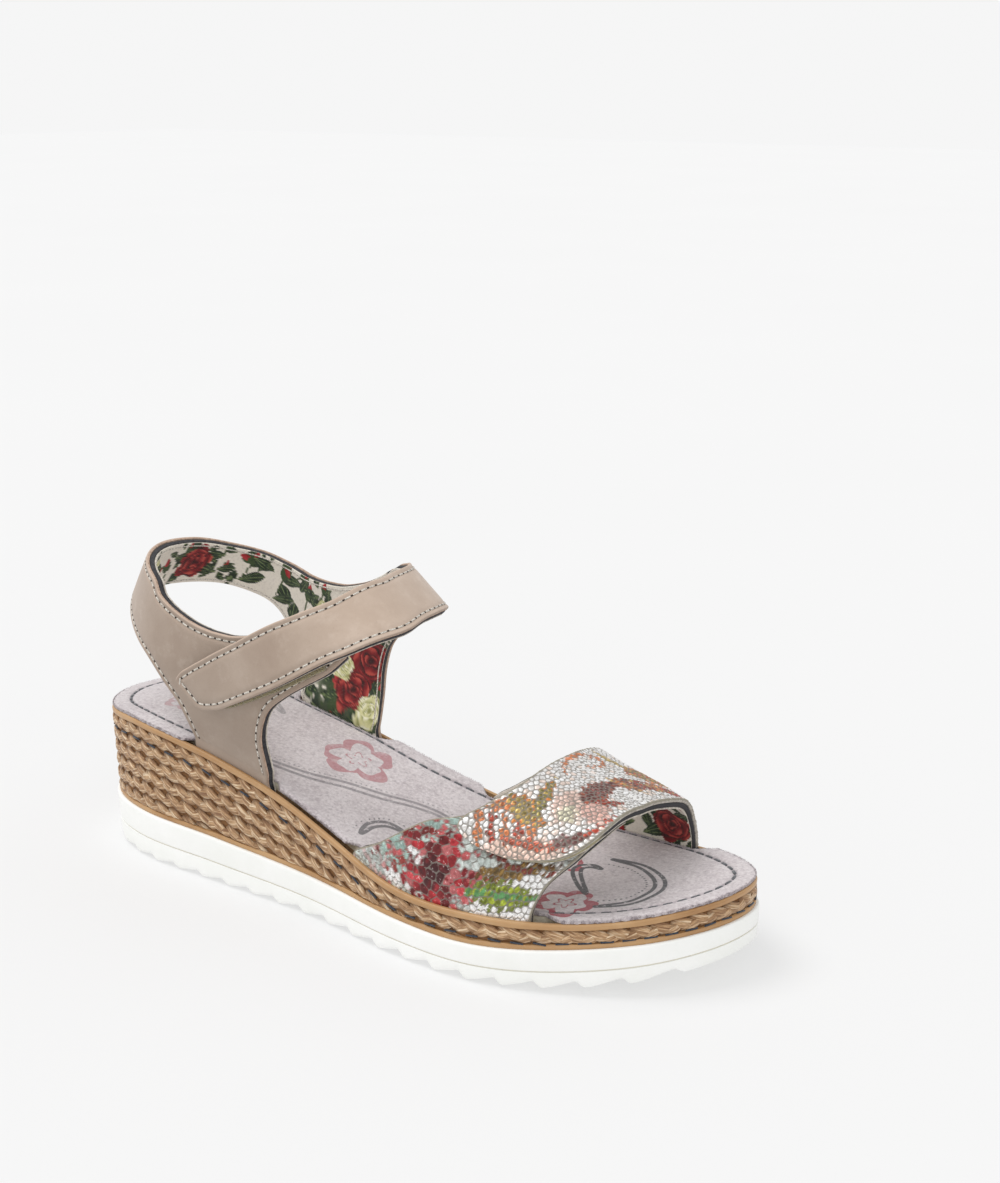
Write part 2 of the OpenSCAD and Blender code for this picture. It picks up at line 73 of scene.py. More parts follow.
def through(stations, steps):
    """Smooth open curve through stations."""
    s = np.asarray(stations, float)
    last = len(s) - 1
    return np.array([spline(s[max(i - 1, 0)], s[i], s[i + 1], s[min(i + 2, last)], k / steps)
                     for i in range(last) for k in range(steps + (i == last - 1))])


def at(table, x):
    """Value at x on a smooth curve through [x, value] stations in rising x."""
    t = np.asarray(table, float)
    t2 = np.vstack([2 * t[0] - t[1], t, 2 * t[-1] - t[-2]])
    x = np.clip(np.asarray(x, float), t[0, 0], t[-1, 0])
    i = np.clip(np.searchsorted(t[:, 0], x, side="right") - 1, 0, len(t) - 2)
    a, b, c, d = t2[i], t2[i + 1], t2[i + 2], t2[i + 3]
    w = c[..., 0] - b[..., 0]
    u = (x - b[..., 0]) / w
    mb = (c[..., 1] - a[..., 1]) / (c[..., 0] - a[..., 0]) * w
    mc = (d[..., 1] - b[..., 1]) / (d[..., 0] - b[..., 0]) * w
    return (b[..., 1] * (2 * u ** 3 - 3 * u * u + 1) + mb * (u ** 3 - 2 * u * u + u)
            + c[..., 1] * (3 * u * u - 2 * u ** 3) + mc * (u ** 3 - u * u))


# The insole's outline seen from above, from the back of the heel along the lateral side
EDGE = np.array([[0, 0], [11, -20], [35, -30], [70, -32], [110, -34], [150, -40.5], [180, -41],
                 [207, -32.5], [229, -18], [241.5, 3], [239.5, 23], [216, 39], [180, 43.5],
                 [150, 37.5], [110, 30.5], [70, 28.5], [35, 30.5], [9, 22]], float)


def outline(steps):
    n = len(EDGE)
    return np.array([spline(EDGE[i - 1], EDGE[i], EDGE[(i + 1) % n], EDGE[(i + 2) % n], k / steps)
                     for i in range(n) for k in range(steps)])


def inset(points, d):
    """Closed outline moved inwards by d, a number or one number per point."""
    t = unit(np.roll(points, -1, 0) - np.roll(points, 1, 0))
    return points + np.asarray(d, float).reshape(-1, 1) * np.stack([-t[:, 1], t[:, 0]], -1)


FINE = outline(40)
HALF = len(FINE) // 2
LATERAL = FINE[1:HALF][np.argsort(FINE[1:HALF, 0])]
MEDIAL = FINE[HALF + 20:][np.argsort(FINE[HALF + 20:, 0])]


def half_width(x, lateral):
    return np.where(lateral, -np.interp(x, LATERAL[:, 0], LATERAL[:, 1]),
                    np.interp(x, MEDIAL[:, 0], MEDIAL[:, 1]))


# ---------------------------------------------------------------- sole heights
# [x, height] stations; JOINT's heights are counted from JOINT_H
RIM = [[0, 45], [30, 48], [60, 45], [90, 39], [120, 29.5], [150, 21.5], [180, 20.8],
       [210, 22], [244, 27]]
JOINT = [[0, 0.5], [60, -0.5], [120, -3], [180, -4.5], [244, 2.5]]
JOINT_H, RIM_H, BRAID_H, BAND_H, POCKET, RECESS = 16, 2.0, 4.85, 1.6, 4.2, 0.95
TOE_SPRING, SPRING_START, SPRING_RUN = 9, 175, 72
HEEL_LEAN, LEAN_REACH = 0.09, 60
LUG_PITCH = 11.5


def rim_z(x):
    return at(RIM, x)


def ground_z(x):
    return TOE_SPRING * (np.maximum(x - SPRING_START, 0) / SPRING_RUN) ** 2


def joint_z(x):
    return JOINT_H + at(JOINT, x)


def plus(height, k):
    """A height function raised by k."""
    return lambda x: height(x) + k


band_z = plus(joint_z, BAND_H)


def braid_top(x, row):
    return rim_z(x) - RIM_H - row * BRAID_H


def leaned(p, z):
    """Outline points p at heights z, on the wall that leans in towards the ground at the heel."""
    lean = HEEL_LEAN * (rim_z(p[:, 0]) - z) * np.maximum(1 - p[:, 0] / LEAN_REACH, 0) ** 2
    return np.stack([p[:, 0] + lean, p[:, 1], z], -1)


# ---------------------------------------------------------------- foot form
RIDGE = [[60, 150], [90, 128], [118, 106], [150, 79], [179, 57.5], [209, 47.2], [243, 35]]
BULGE = [[0, 1], [90, 1], [130, 0.2], [243, 0]]
LATERAL_ROUND, MEDIAL_ROUND = 2.3, 2.8  # exponents of the form's rounded cross-section
LATERAL_SWELL, MEDIAL_SWELL, SWELL_START, SWELL_RISE = 3.5, 7, 3, 27
BACK_X, BACK_Z, BACK_LEAN, BACK_RUN = 9.5, 86, 0.7, 55
EDGE_WALL, SLIP = 1.5, 0.15
LEATHER_T, FOAM_T, LINING_T, TAPE_T, GAP = 1.3, 1.6, 0.6, 1.1, 0.05
UPPER_T = LEATHER_T + FOAM_T + LINING_T + 2 * GAP
LAP = UPPER_T + 2 * TAPE_T + 0.15 + 2 * GAP


def form_width(x, z, lateral):
    swell = 1 - (1 - np.clip((z - rim_z(x) - SWELL_START) / SWELL_RISE, 0, 1)) ** 2
    return (half_width(x, lateral) - EDGE_WALL - SLIP
            + np.where(lateral, LATERAL_SWELL, MEDIAL_SWELL) * at(BULGE, x) * swell)


def form_at_angle(x, a):
    """Point of the form at x and at angle a: 0 on its ridge, -90 and 90 at its sides."""
    lateral = a < 0
    p = np.where(lateral, LATERAL_ROUND, MEDIAL_ROUND)
    t = np.radians(np.minimum(np.abs(a), 90))
    z = mix(rim_z(x), at(RIDGE, x), np.maximum(np.cos(t), 0) ** (2 / p))
    y = np.where(lateral, -1, 1) * form_width(x, z, lateral) * np.sin(t) ** (2 / p)
    return np.stack([x + 0 * y, y, z - np.maximum(np.abs(a) - 90, 0)], -1)


def form_at_height(u, z):
    """Point of the form at height z; u is x, negative on the lateral side, and rounds the heel."""
    lateral = u < 0
    p = np.where(lateral, LATERAL_ROUND, MEDIAL_ROUND)
    back = BACK_X + BACK_LEAN * (z - BACK_Z)
    turn = np.radians(90 * np.minimum(np.abs(u) / BACK_RUN, 1))
    x = np.where(np.abs(u) < BACK_RUN, mix(BACK_RUN, back, np.cos(turn)), np.abs(u))
    rise = np.clip((z - rim_z(x)) / (at(RIDGE, x) - rim_z(x)), 0, 1)
    y = np.where(lateral, -1, 1) * np.sin(turn) * form_width(x, z, lateral) * (1 - rise ** p) ** (1 / p)
    return np.stack([x, y, z + 0 * x], -1)


def surface(form, lift=None):
    """Function of two form coordinates and a depth: points, outward normals and both slopes."""
    def place(q, depth):
        q = np.asarray(q, float)
        h = 0.4
        q0, q1 = q[..., 0], q[..., 1]
        du = form(q0 + h, q1) - form(q0 - h, q1)
        dv = form(q0, q1 + h) - form(q0, q1 - h)
        n = unit(np.cross(du, dv) if form is form_at_angle else np.cross(dv, du))
        d = depth - (LAP * at(lift, q1) if lift else 0)
        return form(q0, q1) - n * np.asarray(d + 0 * q0)[..., None], n, du / (2 * h), dv / (2 * h)
    return place


QUARTER = [
    [107, 84, 98, 98.5], [103, 79.5, 92, 95], [96.5, 73.5, 85, 91.5], [92.5, 68, 79, 89.5],
    [90.5, 60, 74.5, 88.4], [91, 50, 71.5, 88.1], [92, 40, 69, 88], [91.5, 35, 67.5, 88],
    [76, 38.7, 65, 88], [62, 41.1, 61, 88.3], [61, 44, 59.5, 88.5],
    [58, 51, 56.5, 89], [54, 60.5, 53.5, 90], [49.5, 70, 50, 91.3], [44.7, 76.3, 46, 92.7],
    [38, 80.5, 39, 95.3], [27.5, 84.5, 28, 98.5], [14, 86.2, 14, 102],
    [-2, 86.2, -2, 103.3], [-17, 85.6, -18, 102.7], [-25, 83.3, -28, 101.7],
    [-33, 80, -38, 100], [-40, 76.4, -43.5, 98], [-46.5, 71.8, -47, 94.6],
    [-52, 64.6, -50.5, 92.5], [-57.2, 55, -55, 90.2], [-60.5, 46, -59, 88.7],
    [-61.5, 41.1, -61, 88], [-76, 38.7, -65, 87], [-91.5, 34.8, -70, 86.2],
    [-92, 39, -72, 86.1], [-92, 45, -75, 86], [-91.5, 53, -79, 86], [-93, 60, -83.5, 86.7],
    [-96, 65.5, -88, 87.8], [-102, 70.5, -94, 90.5], [-108, 74.5, -101, 93.5],
    [-116, 79.7, -108, 96.5], [-121, 85, -113, 97.6]]
ANKLE_STRAP = [
    [98.6, 50.4, 107.8, 57.5], [105, 40, 116, 48], [111, 29, 124, 35], [117, 12, 130.5, 18],
    [119.3, -4, 133.5, -3], [118.6, -14, 133, -19], [113.8, -31, 125.5, -38],
    [105.7, -43.5, 115.5, -52], [96, -54, 104.5, -63.5], [86, -63, 93.5, -71.8],
    [75, -70.5, 83, -77.6], [67.5, -74.8, 76.5, -80], [64, -76.6, 71, -81],
    [62, -78, 66.3, -80.2], [61.5, -78.5, 62.8, -79.4]]
VAMP_STRAP = [
    [137, 89.9, 210.8, 89.9], [144, 87, 210.6, 86], [154, 80, 210.3, 79],
    [164, 71, 210.1, 70], [173.5, 58, 210.6, 58], [179, 44, 211.6, 44], [181.3, 30, 212.8, 30],
    [182.6, 15, 213.3, 15], [183.2, 0, 212.4, 0], [183.5, -16, 211.7, -16],
    [182.3, -30, 210.6, -32], [177.5, -44.5, 207.8, -46], [173.8, -52.3, 203.5, -54.8],
    [172.5, -57, 198, -59], [174.5, -60, 190.5, -61.5], [180, -61.6, 185.5, -61.8]]
VAMP_PANEL = [
    [183.5, -5, 209.8, -4], [183, -18, 209.6, -17], [181.5, -32, 209, -30],
    [177, -44, 207.6, -42], [170, -54.5, 205.7, -53], [161, -64, 203, -62.5],
    [152.5, -73.5, 200.5, -71], [144, -81.5, 198.5, -80], [137.5, -86, 197.3, -85.9],
    [131, -89.9, 196.8, -89.9], [131, -93.9, 196.8, -93.9]]
on_quarter = surface(form_at_height)
on_ankle = surface(form_at_angle, [[-80, 1], [-35, 1], [25, 0], [60, 0]])
on_panel = surface(form_at_angle)
on_vamp = surface(form_at_angle, [[-70, 1], [-25, 1], [35, 0], [90, 0]])


# ---------------------------------------------------------------- mesh building
def build(name, verts, faces, mats, body, nodes=(), fields=None, index=None,
          sharp=None, blend=None):
    """Makes one piece. faces is a list of arrays of corner numbers, each with its own width."""
    faces = [np.asarray(f, np.int64) for f in faces if len(f)]
    v = (np.asarray(verts, float) - [ORIGIN_X, 0, 0]) / 1000
    tris = np.vstack([f[:, [0, k, k + 1]] for f in faces for k in range(1, f.shape[1] - 1)])
    volume = np.einsum("ij,ij->i", v[tris[:, 0]], np.cross(v[tris[:, 1]], v[tris[:, 2]])).sum()
    if volume < 0:
        faces = [f[:, ::-1] for f in faces]
    me = bpy.data.meshes.new(name)
    loops = np.concatenate([f.ravel() for f in faces])
    totals = np.concatenate([np.full(len(f), f.shape[1]) for f in faces])
    me.vertices.add(len(v))
    me.vertices.foreach_set("co", v.astype(np.float32).ravel())
    me.loops.add(len(loops))
    me.loops.foreach_set("vertex_index", loops.astype(np.int32))
    me.polygons.add(len(totals))
    me.polygons.foreach_set("loop_start", (np.cumsum(totals) - totals).astype(np.int32))
    if index is not None:
        me.polygons.foreach_set("material_index", np.asarray(index, np.int32))
    me.polygons.foreach_set("use_smooth", np.ones(len(totals), bool))
    me.update(calc_edges=True)
    for key, value in (fields or {}).items():
        value = np.asarray(value, np.float32)
        if value.ndim == 1:
            me.attributes.new(key, "FLOAT", "POINT").data.foreach_set("value", value)
        else:
            me.attributes.new(key, "FLOAT_VECTOR", "POINT").data.foreach_set("vector", value.ravel())
    if sharp:
        me.set_sharp_from_angle(angle=math.radians(sharp))
    for m in mats if isinstance(mats, (list, tuple)) else [mats]:
        me.materials.append(m)
    o = bpy.data.objects.new(name, me)
    bpy.context.scene.collection.objects.link(o)
    if blend:
        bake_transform(o)
    else:
        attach(o, body)
    if nodes:
        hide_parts(*nodes)
    return o


def grid(nu, nv):
    """Four-cornered faces between nu rows of nv points."""
    i, j = np.meshgrid(np.arange(nu - 1), np.arange(nv - 1), indexing="ij")
    a, d = i * nv + j, (i + 1) * nv + j
    return np.stack([a, a + 1, d + 1, d], -1).reshape(-1, 4)


EDGE_STEPS = np.array([0, 0.08, 0.22, 0.45, 0.8, 1.3])
GROOVE_DEPTH, GROOVE_WIDTH = 0.3, 0.75  # of the dip that a stitch line pulls into its layer
INNER_ROUND, FOLD_ANGLE = 0.2, 60


def across(path, place, spacing):
    """Shares across a strap for each station, dense at both edges, and the distance to an edge."""
    line = [place(np.stack([mix(path[:, 0], path[:, 2], t), mix(path[:, 1], path[:, 3], t)], -1), 0)[0]
            for t in (0, 0.25, 0.5, 0.75, 1)]
    width = sum(np.linalg.norm(b - a, axis=-1) for a, b in zip(line, line[1:]))
    both = 2 * EDGE_STEPS[-1]
    scale = np.minimum(1, width / (1.3 * both))  # narrow ends have narrower edges
    low = EDGE_STEPS[None, :] * (scale / width)[:, None]
    count = max(2, int((width.max() - both) / spacing))
    middle = np.linspace(0, 1, count + 1)[None, 1:-1]
    inner = low[:, -1:] + (1 - 2 * low[:, -1:]) * middle
    t = np.hstack([low, inner, 1 - low[:, ::-1]])
    return t, np.minimum(t, 1 - t) * width[:, None]


def closed_sheet(outer, inner):
    """Vertices and faces of a solid between two equal grids, and how many faces are skin."""
    nu, nv = outer.shape[:2]
    half = nu * nv
    skin = grid(nu, nv)
    ids = np.arange(half).reshape(nu, nv)
    border = np.concatenate([ids[0], ids[1:, -1], ids[-1, -2::-1], ids[-2:0:-1, 0]])
    turn = np.roll(border, -1)
    rim = np.stack([border, border + half, turn + half, turn], -1)
    verts = np.vstack([outer.reshape(-1, 3), inner.reshape(-1, 3)])
    return verts, [skin, skin[:, ::-1] + half, rim], len(skin)


def edge_round(distance, r):
    e = np.clip(distance / r, 0, 1)
    return r * (1 - np.sqrt(np.maximum(1 - (1 - e) ** 2, 0)))


def layer(name, stations, place, depths, mats, body, steps, spacing, nodes, slot, round_r=0.35,
          groove=None, relief=None, paint=None, blend=None, lining=False):
    """One layer of an upper: a closed sheet with rounded edges that follows the form. relief and
    paint are functions of form coordinates and of the distance to the closest edge."""
    path = through(stations, steps)
    t, e = across(path, place, spacing)
    q = np.stack([mix(path[:, None, 0], path[:, None, 2], t),
                  mix(path[:, None, 1], path[:, None, 3], t)], -1)
    dip = edge_round(e, round_r)
    fields = {}
    base = place(q, depths[0])[0]
    if groove is not None:
        for line in groove:
            near = nearest(base.reshape(-1, 3), line).reshape(e.shape)
            dip = dip + GROOVE_DEPTH * np.exp(-(near / GROOVE_WIDTH) ** 2)
    bump = relief(q, e) if relief else 0
    outer = place(q, depths[0] + dip - bump)[0]
    inner = place(q, depths[1] - np.minimum(edge_round(e, round_r), INNER_ROUND))[0]
    verts, faces, skin = closed_sheet(outer, inner)
    if paint:
        for key, value in paint(q, e).items():
            value = value.reshape((-1,) + value.shape[2:])
            fields[key] = np.concatenate([value, value])
    index = np.zeros(sum(len(f) for f in faces), int)
    if isinstance(mats, (list, tuple)):
        index[:] = 1
        index[skin * lining:skin * (1 + lining)] = 0
    return build(name, verts, faces, mats, body, nodes, fields, index, FOLD_ANGLE, blend)


def nearest(points, line):
    """Distance from each point to the closest point of a dense line."""
    out = np.full(len(points), 1e9)
    lo, hi = line.min(0) - 3, line.max(0) + 3
    mask = np.all((points > lo) & (points < hi), axis=1)
    sub = points[mask]
    best = np.full(len(sub), 1e9)
    for chunk in np.array_split(line, max(1, len(line) // 24)):
        best = np.minimum(best, ((sub[:, None] - chunk[None]) ** 2).sum(-1).min(1))
    out[mask] = np.sqrt(best)
    return out


def offset_line(place, q, dist, side):
    """Form coordinates of a line at dist from an edge line, with the corners cut clean."""
    p, n, du, dv = place(q, 0)
    t = unit(np.gradient(p, axis=0))
    d = side * np.cross(n, t) * dist
    dq = np.einsum("nij,nj->ni", np.linalg.pinv(np.stack([du, dv], -1)), d)
    moved = q + dq
    far = nearest(place(moved, 0)[0], p) > dist * 0.96
    return moved[far]


def resample(points, pitch, extra=()):
    """Points, tangents and extra arrays at equal steps of pitch along a line."""
    s = np.concatenate([[0], np.cumsum(np.linalg.norm(np.diff(points, axis=0), axis=1))])
    count = max(1, round(s[-1] / pitch))
    at_s = (np.arange(count) + 0.5) * s[-1] / count
    reach = 0.3

    def pick(a, shift=0.0):
        return np.stack([np.interp(at_s + shift, s, a[:, k]) for k in range(a.shape[1])], -1)

    return pick(points), unit(pick(points, reach) - pick(points, -reach)), [pick(a) for a in extra]


def tube_quads(rings, sides):
    """Faces round one tube of rings with so many sides."""
    ids = np.arange(rings * sides).reshape(rings, sides)
    nxt = np.roll(ids, -1, 1)
    return np.stack([ids[:-1], nxt[:-1], nxt[1:], ids[1:]], -1).reshape(-1, 4)


def repeated(faces, count, size):
    """The faces of count equal pieces with size corners each."""
    return (faces[None] + size * np.arange(count)[:, None, None]).reshape(-1, faces.shape[1])


def capsules(centres, along, up, length, width, thick, rings=7, sides=8):
    """Many small rounded bars in one mesh."""
    side = unit(np.cross(up, along))
    up = np.cross(along, side)
    a = np.linspace(-math.pi / 2, math.pi / 2, rings)
    end = min(width, length) * 0.45
    rise = np.sin(a)
    x = np.sign(rise) * (length / 2 - end) * np.minimum(np.abs(rise) * 3, 1) + end * rise
    r = np.maximum(np.cos(a), 0.12) ** 0.5
    phi = np.linspace(0, 2 * math.pi, sides, endpoint=False)
    local = np.stack([np.repeat(x, sides), np.outer(r, np.cos(phi)).ravel() * width / 2,
                      np.outer(r, np.sin(phi)).ravel() * thick / 2], -1)
    basis = np.stack([along, side, up], 1)
    verts = centres[:, None] + np.einsum("kj,nji->nki", local, basis)
    size, cap = rings * sides, np.arange(sides)
    faces = (tube_quads(rings, sides), np.vstack([cap[::-1], cap + size - sides]))
    return verts.reshape(-1, 3), [repeated(f, len(centres), size) for f in faces]


def joined(parts):
    """Joins (verts, faces) pairs whose face lists have the same widths."""
    verts, faces, first = [], {}, 0
    for v, fs in parts:
        for f in fs:
            faces.setdefault(f.shape[1], []).append(f + first)
        verts.append(v)
        first += len(v)
    return np.vstack(verts), [np.vstack(f) for f in faces.values()]


# ---------------------------------------------------------------- materials
def linear(rgb):
    c = np.asarray(rgb, float) / 255
    return np.where(c <= 0.04045, c / 12.92, ((c + 0.055) / 1.055) ** 2.4)


def colour(rgb):
    return (*linear(rgb), 1.0)


class Shader:
    """A Principled material with short calls for its nodes."""

    def __init__(self, name, **inputs):
        self.m = bpy.data.materials.new(name)
        self.m.use_nodes = True
        self.t = self.m.node_tree
        self.t.nodes.clear()
        out = self.t.nodes.new("ShaderNodeOutputMaterial")
        self.b = self.t.nodes.new("ShaderNodeBsdfPrincipled")
        self.t.links.new(self.b.outputs[0], out.inputs[0])
        self.coord = self.add("TexCoord").outputs["Object"]
        self.set(self.b, inputs)

    def set(self, n, inputs):
        for k, v in inputs.items():
            k = int(k[1:]) if k[0] == "_" else k.replace("_", " ")
            if isinstance(v, bpy.types.NodeSocket):
                self.t.links.new(v, n.inputs[k])
            else:
                n.inputs[k].default_value = v

    def add(self, kind, options=None, **inputs):
        n = self.t.nodes.new("ShaderNode" + kind)
        for k, v in (options or {}).items():
            setattr(n, k, v)
        self.set(n, inputs)
        return n

    def field(self, name, vector=False):
        n = self.add("Attribute", {"attribute_name": name})
        return n.outputs["Vector" if vector else "Fac"]

    def scaled(self, vector, scale):
        return self.add("Mapping", Vector=vector, Scale=scale).outputs[0]

    def noise(self, scale, detail=3, rough=0.55, vector=None, warp=0.0):
        return self.add("TexNoise", Vector=vector or self.coord, Scale=scale, Detail=detail,
                        Roughness=rough, Distortion=warp).outputs["Fac"]

    def math(self, kind, a, b):
        return self.add("Math", {"operation": kind}, _0=a, _1=b).outputs[0]

    def step(self, value, a, b, lo=0.0, hi=1.0):
        return self.add("MapRange", {"interpolation_type": "SMOOTHSTEP"}, Value=value, From_Min=a,
                        From_Max=b, To_Min=lo, To_Max=hi).outputs[0]

    def ramp(self, fac, *stops):
        n = self.add("ValToRGB", Fac=fac)
        while len(n.color_ramp.elements) < len(stops):
            n.color_ramp.elements.new(0.5)
        for e, (pos, rgb) in zip(n.color_ramp.elements, stops):
            e.position, e.color = pos, colour(rgb)
        return n.outputs[0]

    def mix(self, fac, a, b, kind="MIX"):
        a, b = [colour(v) if isinstance(v, tuple) and len(v) == 3 else v for v in (a, b)]
        n = self.add("Mix", {"data_type": "RGBA", "blend_type": kind}, _0=fac, _6=a, _7=b)
        return n.outputs[2]

    def jitter(self, value, noise, amount):
        """Shifts value up and down by up to half of amount, following a noise."""
        return self.math("ADD", value, self.math("MULTIPLY", self.math("SUBTRACT", noise, 0.5), amount))

    def nap(self, tone, low):
        """Painted shade: darkens the colour on steep faces, whose normals point less upwards, down to low.
        """
        z = self.add("SeparateXYZ", Vector=self.add("NewGeometry").outputs["Normal"]).outputs["Z"]
        level = self.step(z, -0.2, 0.75, low, 1.0)
        grey = self.add("CombineColor", Red=level, Green=level, Blue=level).outputs[0]
        return self.mix(1.0, tone, grey, "MULTIPLY")

    def bump(self, *layers):
        """layers are (height, distance in mm) pairs."""
        normal = None
        for height, mm in layers:
            n = self.add("Bump", Height=height, Distance=mm / 1000, Strength=1.0)
            if normal:
                self.t.links.new(normal, n.inputs["Normal"])
            normal = n.outputs[0]
        self.t.links.new(normal, self.b.inputs["Normal"])

    def base(self, value):
        self.set(self.b, {"Base_Color": value})
        return self.m


def rubber_white():
    s = Shader("white_rubber", Roughness=0.5, Specular_IOR_Level=0.4)
    s.bump((s.noise(420, 4), 0.10), (s.noise(90, 2), 0.12))
    tone = s.ramp(s.noise(60, 4), (0.3, (245, 246, 242)), (0.7, (251, 251, 249)))
    return s.base(s.mix(s.step(s.field("seam"), 0.2, 1.0, 0.0, 0.75), tone, (226, 221, 205)))


def tan_cover():
    s = Shader("tan_cover", Roughness=0.42)
    streak = s.noise(1, 4, 0.6, s.scaled(s.coord, (60, 60, 420)))
    s.bump((s.noise(700, 3), 0.05), (streak, 0.12))
    tone = s.ramp(s.noise(45, 4, 0.6), (0.3, (168, 126, 82)), (0.55, (190, 150, 104)),
                  (0.8, (204, 168, 124)))
    return s.base(s.mix(s.step(streak, 0.35, 0.7, 0.0, 0.25), tone, (168, 122, 76)))


def jute_core():
    s = Shader("jute_core", Roughness=0.9)
    f = s.noise(1, 5, 0.65, s.scaled(s.coord, (150, 150, 900)))
    s.bump((f, 0.5))
    return s.base(s.ramp(f, (0.3, (104, 70, 40)), (0.6, (140, 100, 62)), (0.8, (164, 122, 78))))


def jute():
    s = Shader("plaited_jute", Roughness=0.55, Sheen_Weight=0.1)
    uv = s.field("fibre", True)
    streak = s.noise(1, 3, 0.6, s.scaled(uv, (0.16, 1.15, 1.0)), 0.4)
    fine = s.noise(1, 3, 0.6, s.scaled(uv, (0.45, 3.6, 1.0)))
    tone = s.ramp(streak, (0.34, (134, 94, 60)), (0.45, (172, 132, 92)), (0.54, (206, 168, 126)),
                  (0.64, (240, 216, 182)))
    tone = s.mix(s.step(fine, 0.36, 0.58, 0.45, 0.0), tone, (122, 86, 52))
    tone = s.mix(s.step(fine, 0.60, 0.75, 0.0, 0.4), tone, (240, 220, 190))
    s.bump((fine, 0.2), (streak, 0.35))
    # painted shade from the strands' shade field darkens the jute towards the recess brown
    return s.base(s.mix(s.field("strand_shade"), tone, (104, 70, 40)))


def thread(name, rgb, dark):
    s = Shader(name, Roughness=0.7, Sheen_Weight=0.2)
    f = s.noise(2600, 2)
    s.bump((f, 0.05))
    return s.base(s.ramp(f, (0.35, dark), (0.6, rgb)))


def suede():
    s = Shader("suede_sock", Roughness=0.92, Sheen_Weight=0.35, Sheen_Roughness=0.6)
    nap = s.noise(900, 5, 0.7)
    cloud = s.noise(55, 4, 0.6, warp=0.4)
    speck = s.noise(380, 3, 0.6)
    tone = s.ramp(cloud, (0.3, (190, 180, 182)), (0.55, (204, 195, 196)), (0.75, (213, 205, 206)))
    tone = s.mix(s.step(speck, 0.52, 0.72, 0.0, 0.5), tone, (166, 153, 158))
    tone = s.mix(s.step(nap, 0.5, 0.62, 0.0, 0.55), tone, (228, 221, 222))
    tone = s.mix(s.step(nap, 0.48, 0.34, 0.0, 0.6), tone, (158, 147, 151))
    fuzz = s.jitter(s.field("edge"), s.noise(700, 3), 3.2)
    tone = s.mix(s.step(fuzz, -0.2, 0.5, 0.8, 0.0), tone, (112, 98, 104))
    worn = s.step(s.noise(420, 4, 0.7), 0.28, 0.44)
    faded = s.field("faded")
    brushed = s.step(s.noise(170, 4, 0.7), 0.30, 0.48, 0.55, 1.0)
    for name, ink, wear in (("red", (158, 36, 56), brushed), ("ink", (34, 35, 41), worn)):
        mask = s.step(s.jitter(s.field(name), nap, 0.5), -0.12, 0.12)
        mask = s.math("MULTIPLY", mask, s.math("MULTIPLY", wear, s.math("SUBTRACT", 0.96, faded)))
        tone = s.mix(mask, tone, ink)
    # painted shade in the stitch groove: the suede is darkened along the groove line
    tone = s.mix(s.step(s.field("groove"), 0.1, 0.9, 0.0, 0.45), tone, (122, 112, 120))
    s.bump((nap, 0.22), (speck, 0.25), (cloud, 0.3))
    return s.base(tone)


def nubuck():
    s = Shader("nubuck", Roughness=0.86, Sheen_Weight=0.25, Sheen_Roughness=0.5)
    cloud = s.noise(38, 4, 0.6, warp=0.3)
    pore = s.noise(1500, 4, 0.7)
    scuff = s.noise(180, 5, 0.65)
    tone = s.ramp(cloud, (0.3, (178, 157, 140)), (0.52, (190, 170, 153)), (0.72, (203, 184, 168)))
    tone = s.mix(s.step(scuff, 0.52, 0.7, 0.0, 0.30), tone, (213, 196, 181))
    tone = s.mix(s.step(pore, 0.55, 0.75, 0.0, 0.22), tone, (150, 128, 112))
    tone = s.mix(s.step(s.field("edge"), 0.0, 1.0, 0.35, 0.0), tone, (205, 178, 158))
    # painted shade: the nubuck's steep faces are darkened as if lit from above
    tone = s.nap(tone, 0.66)
    s.bump((pore, 0.05), (scuff, 0.08))
    return s.base(tone)


def raw_edge(name, light, dark):
    s = Shader(name, Roughness=0.9)
    f = s.noise(900, 4, 0.7)
    s.bump((f, 0.15))
    return s.base(s.ramp(f, (0.35, dark), (0.65, light)))


def printed_cotton():
    s = Shader("printed_cotton", Roughness=0.85, Sheen_Weight=0.1)
    warp, weft = [s.add("TexWave", {"bands_direction": way}, Vector=s.coord, Scale=700, Distortion=1.0,
                        Detail=1).outputs["Fac"] for way in "XZ"]
    weave = s.math("MULTIPLY", warp, weft)
    wear = s.step(s.noise(1200, 3), 0.45, 0.75, 0.0, 0.16)
    tone = s.mix(wear, s.field("paint", True), (120, 108, 96))
    s.bump((weave, 0.10), (s.noise(260, 3), 0.12))
    return s.base(tone)


def mosaic():
    s = Shader("mosaic_leather", Specular_IOR_Level=0.6)
    cell = s.step(s.jitter(s.field("edge"), s.noise(1400, 3), 0.10), 0.12, 0.25)
    glint = s.noise(950, 3, 0.6)
    paint = s.field("paint", True)
    shaded = s.mix(1.0, paint, (158, 146, 138), "MULTIPLY")
    tone = s.mix(s.step(glint, 0.35, 0.6, 0.5, 0.0), paint, shaded)
    tone = s.mix(s.step(glint, 0.60, 0.74, 0.0, 0.7), tone, (255, 253, 250))
    grout = s.mix(s.step(s.noise(800, 3), 0.3, 0.7, 0.08, 0.26), (122, 116, 108), paint)
    s.set(s.b, {"Metallic": s.math("MULTIPLY", cell, 0.38), "Roughness": s.step(cell, 0, 1, 0.75, 0.34)})
    s.bump((s.noise(1500, 3), 0.05), (glint, 0.05))
    return s.base(s.mix(cell, grout, tone))


def pile(name, light, dark):
    s = Shader(name, Roughness=0.95, Sheen_Weight=0.4)
    loops = s.add("TexVoronoi", Vector=s.coord, Scale=1900).outputs["Distance"]
    f = s.noise(1300, 4, 0.7)
    s.bump((loops, 0.4), (f, 0.3))
    return s.base(s.ramp(s.math("MULTIPLY", s.math("ADD", loops, f), 0.7), (0.25, dark), (0.7, light)))


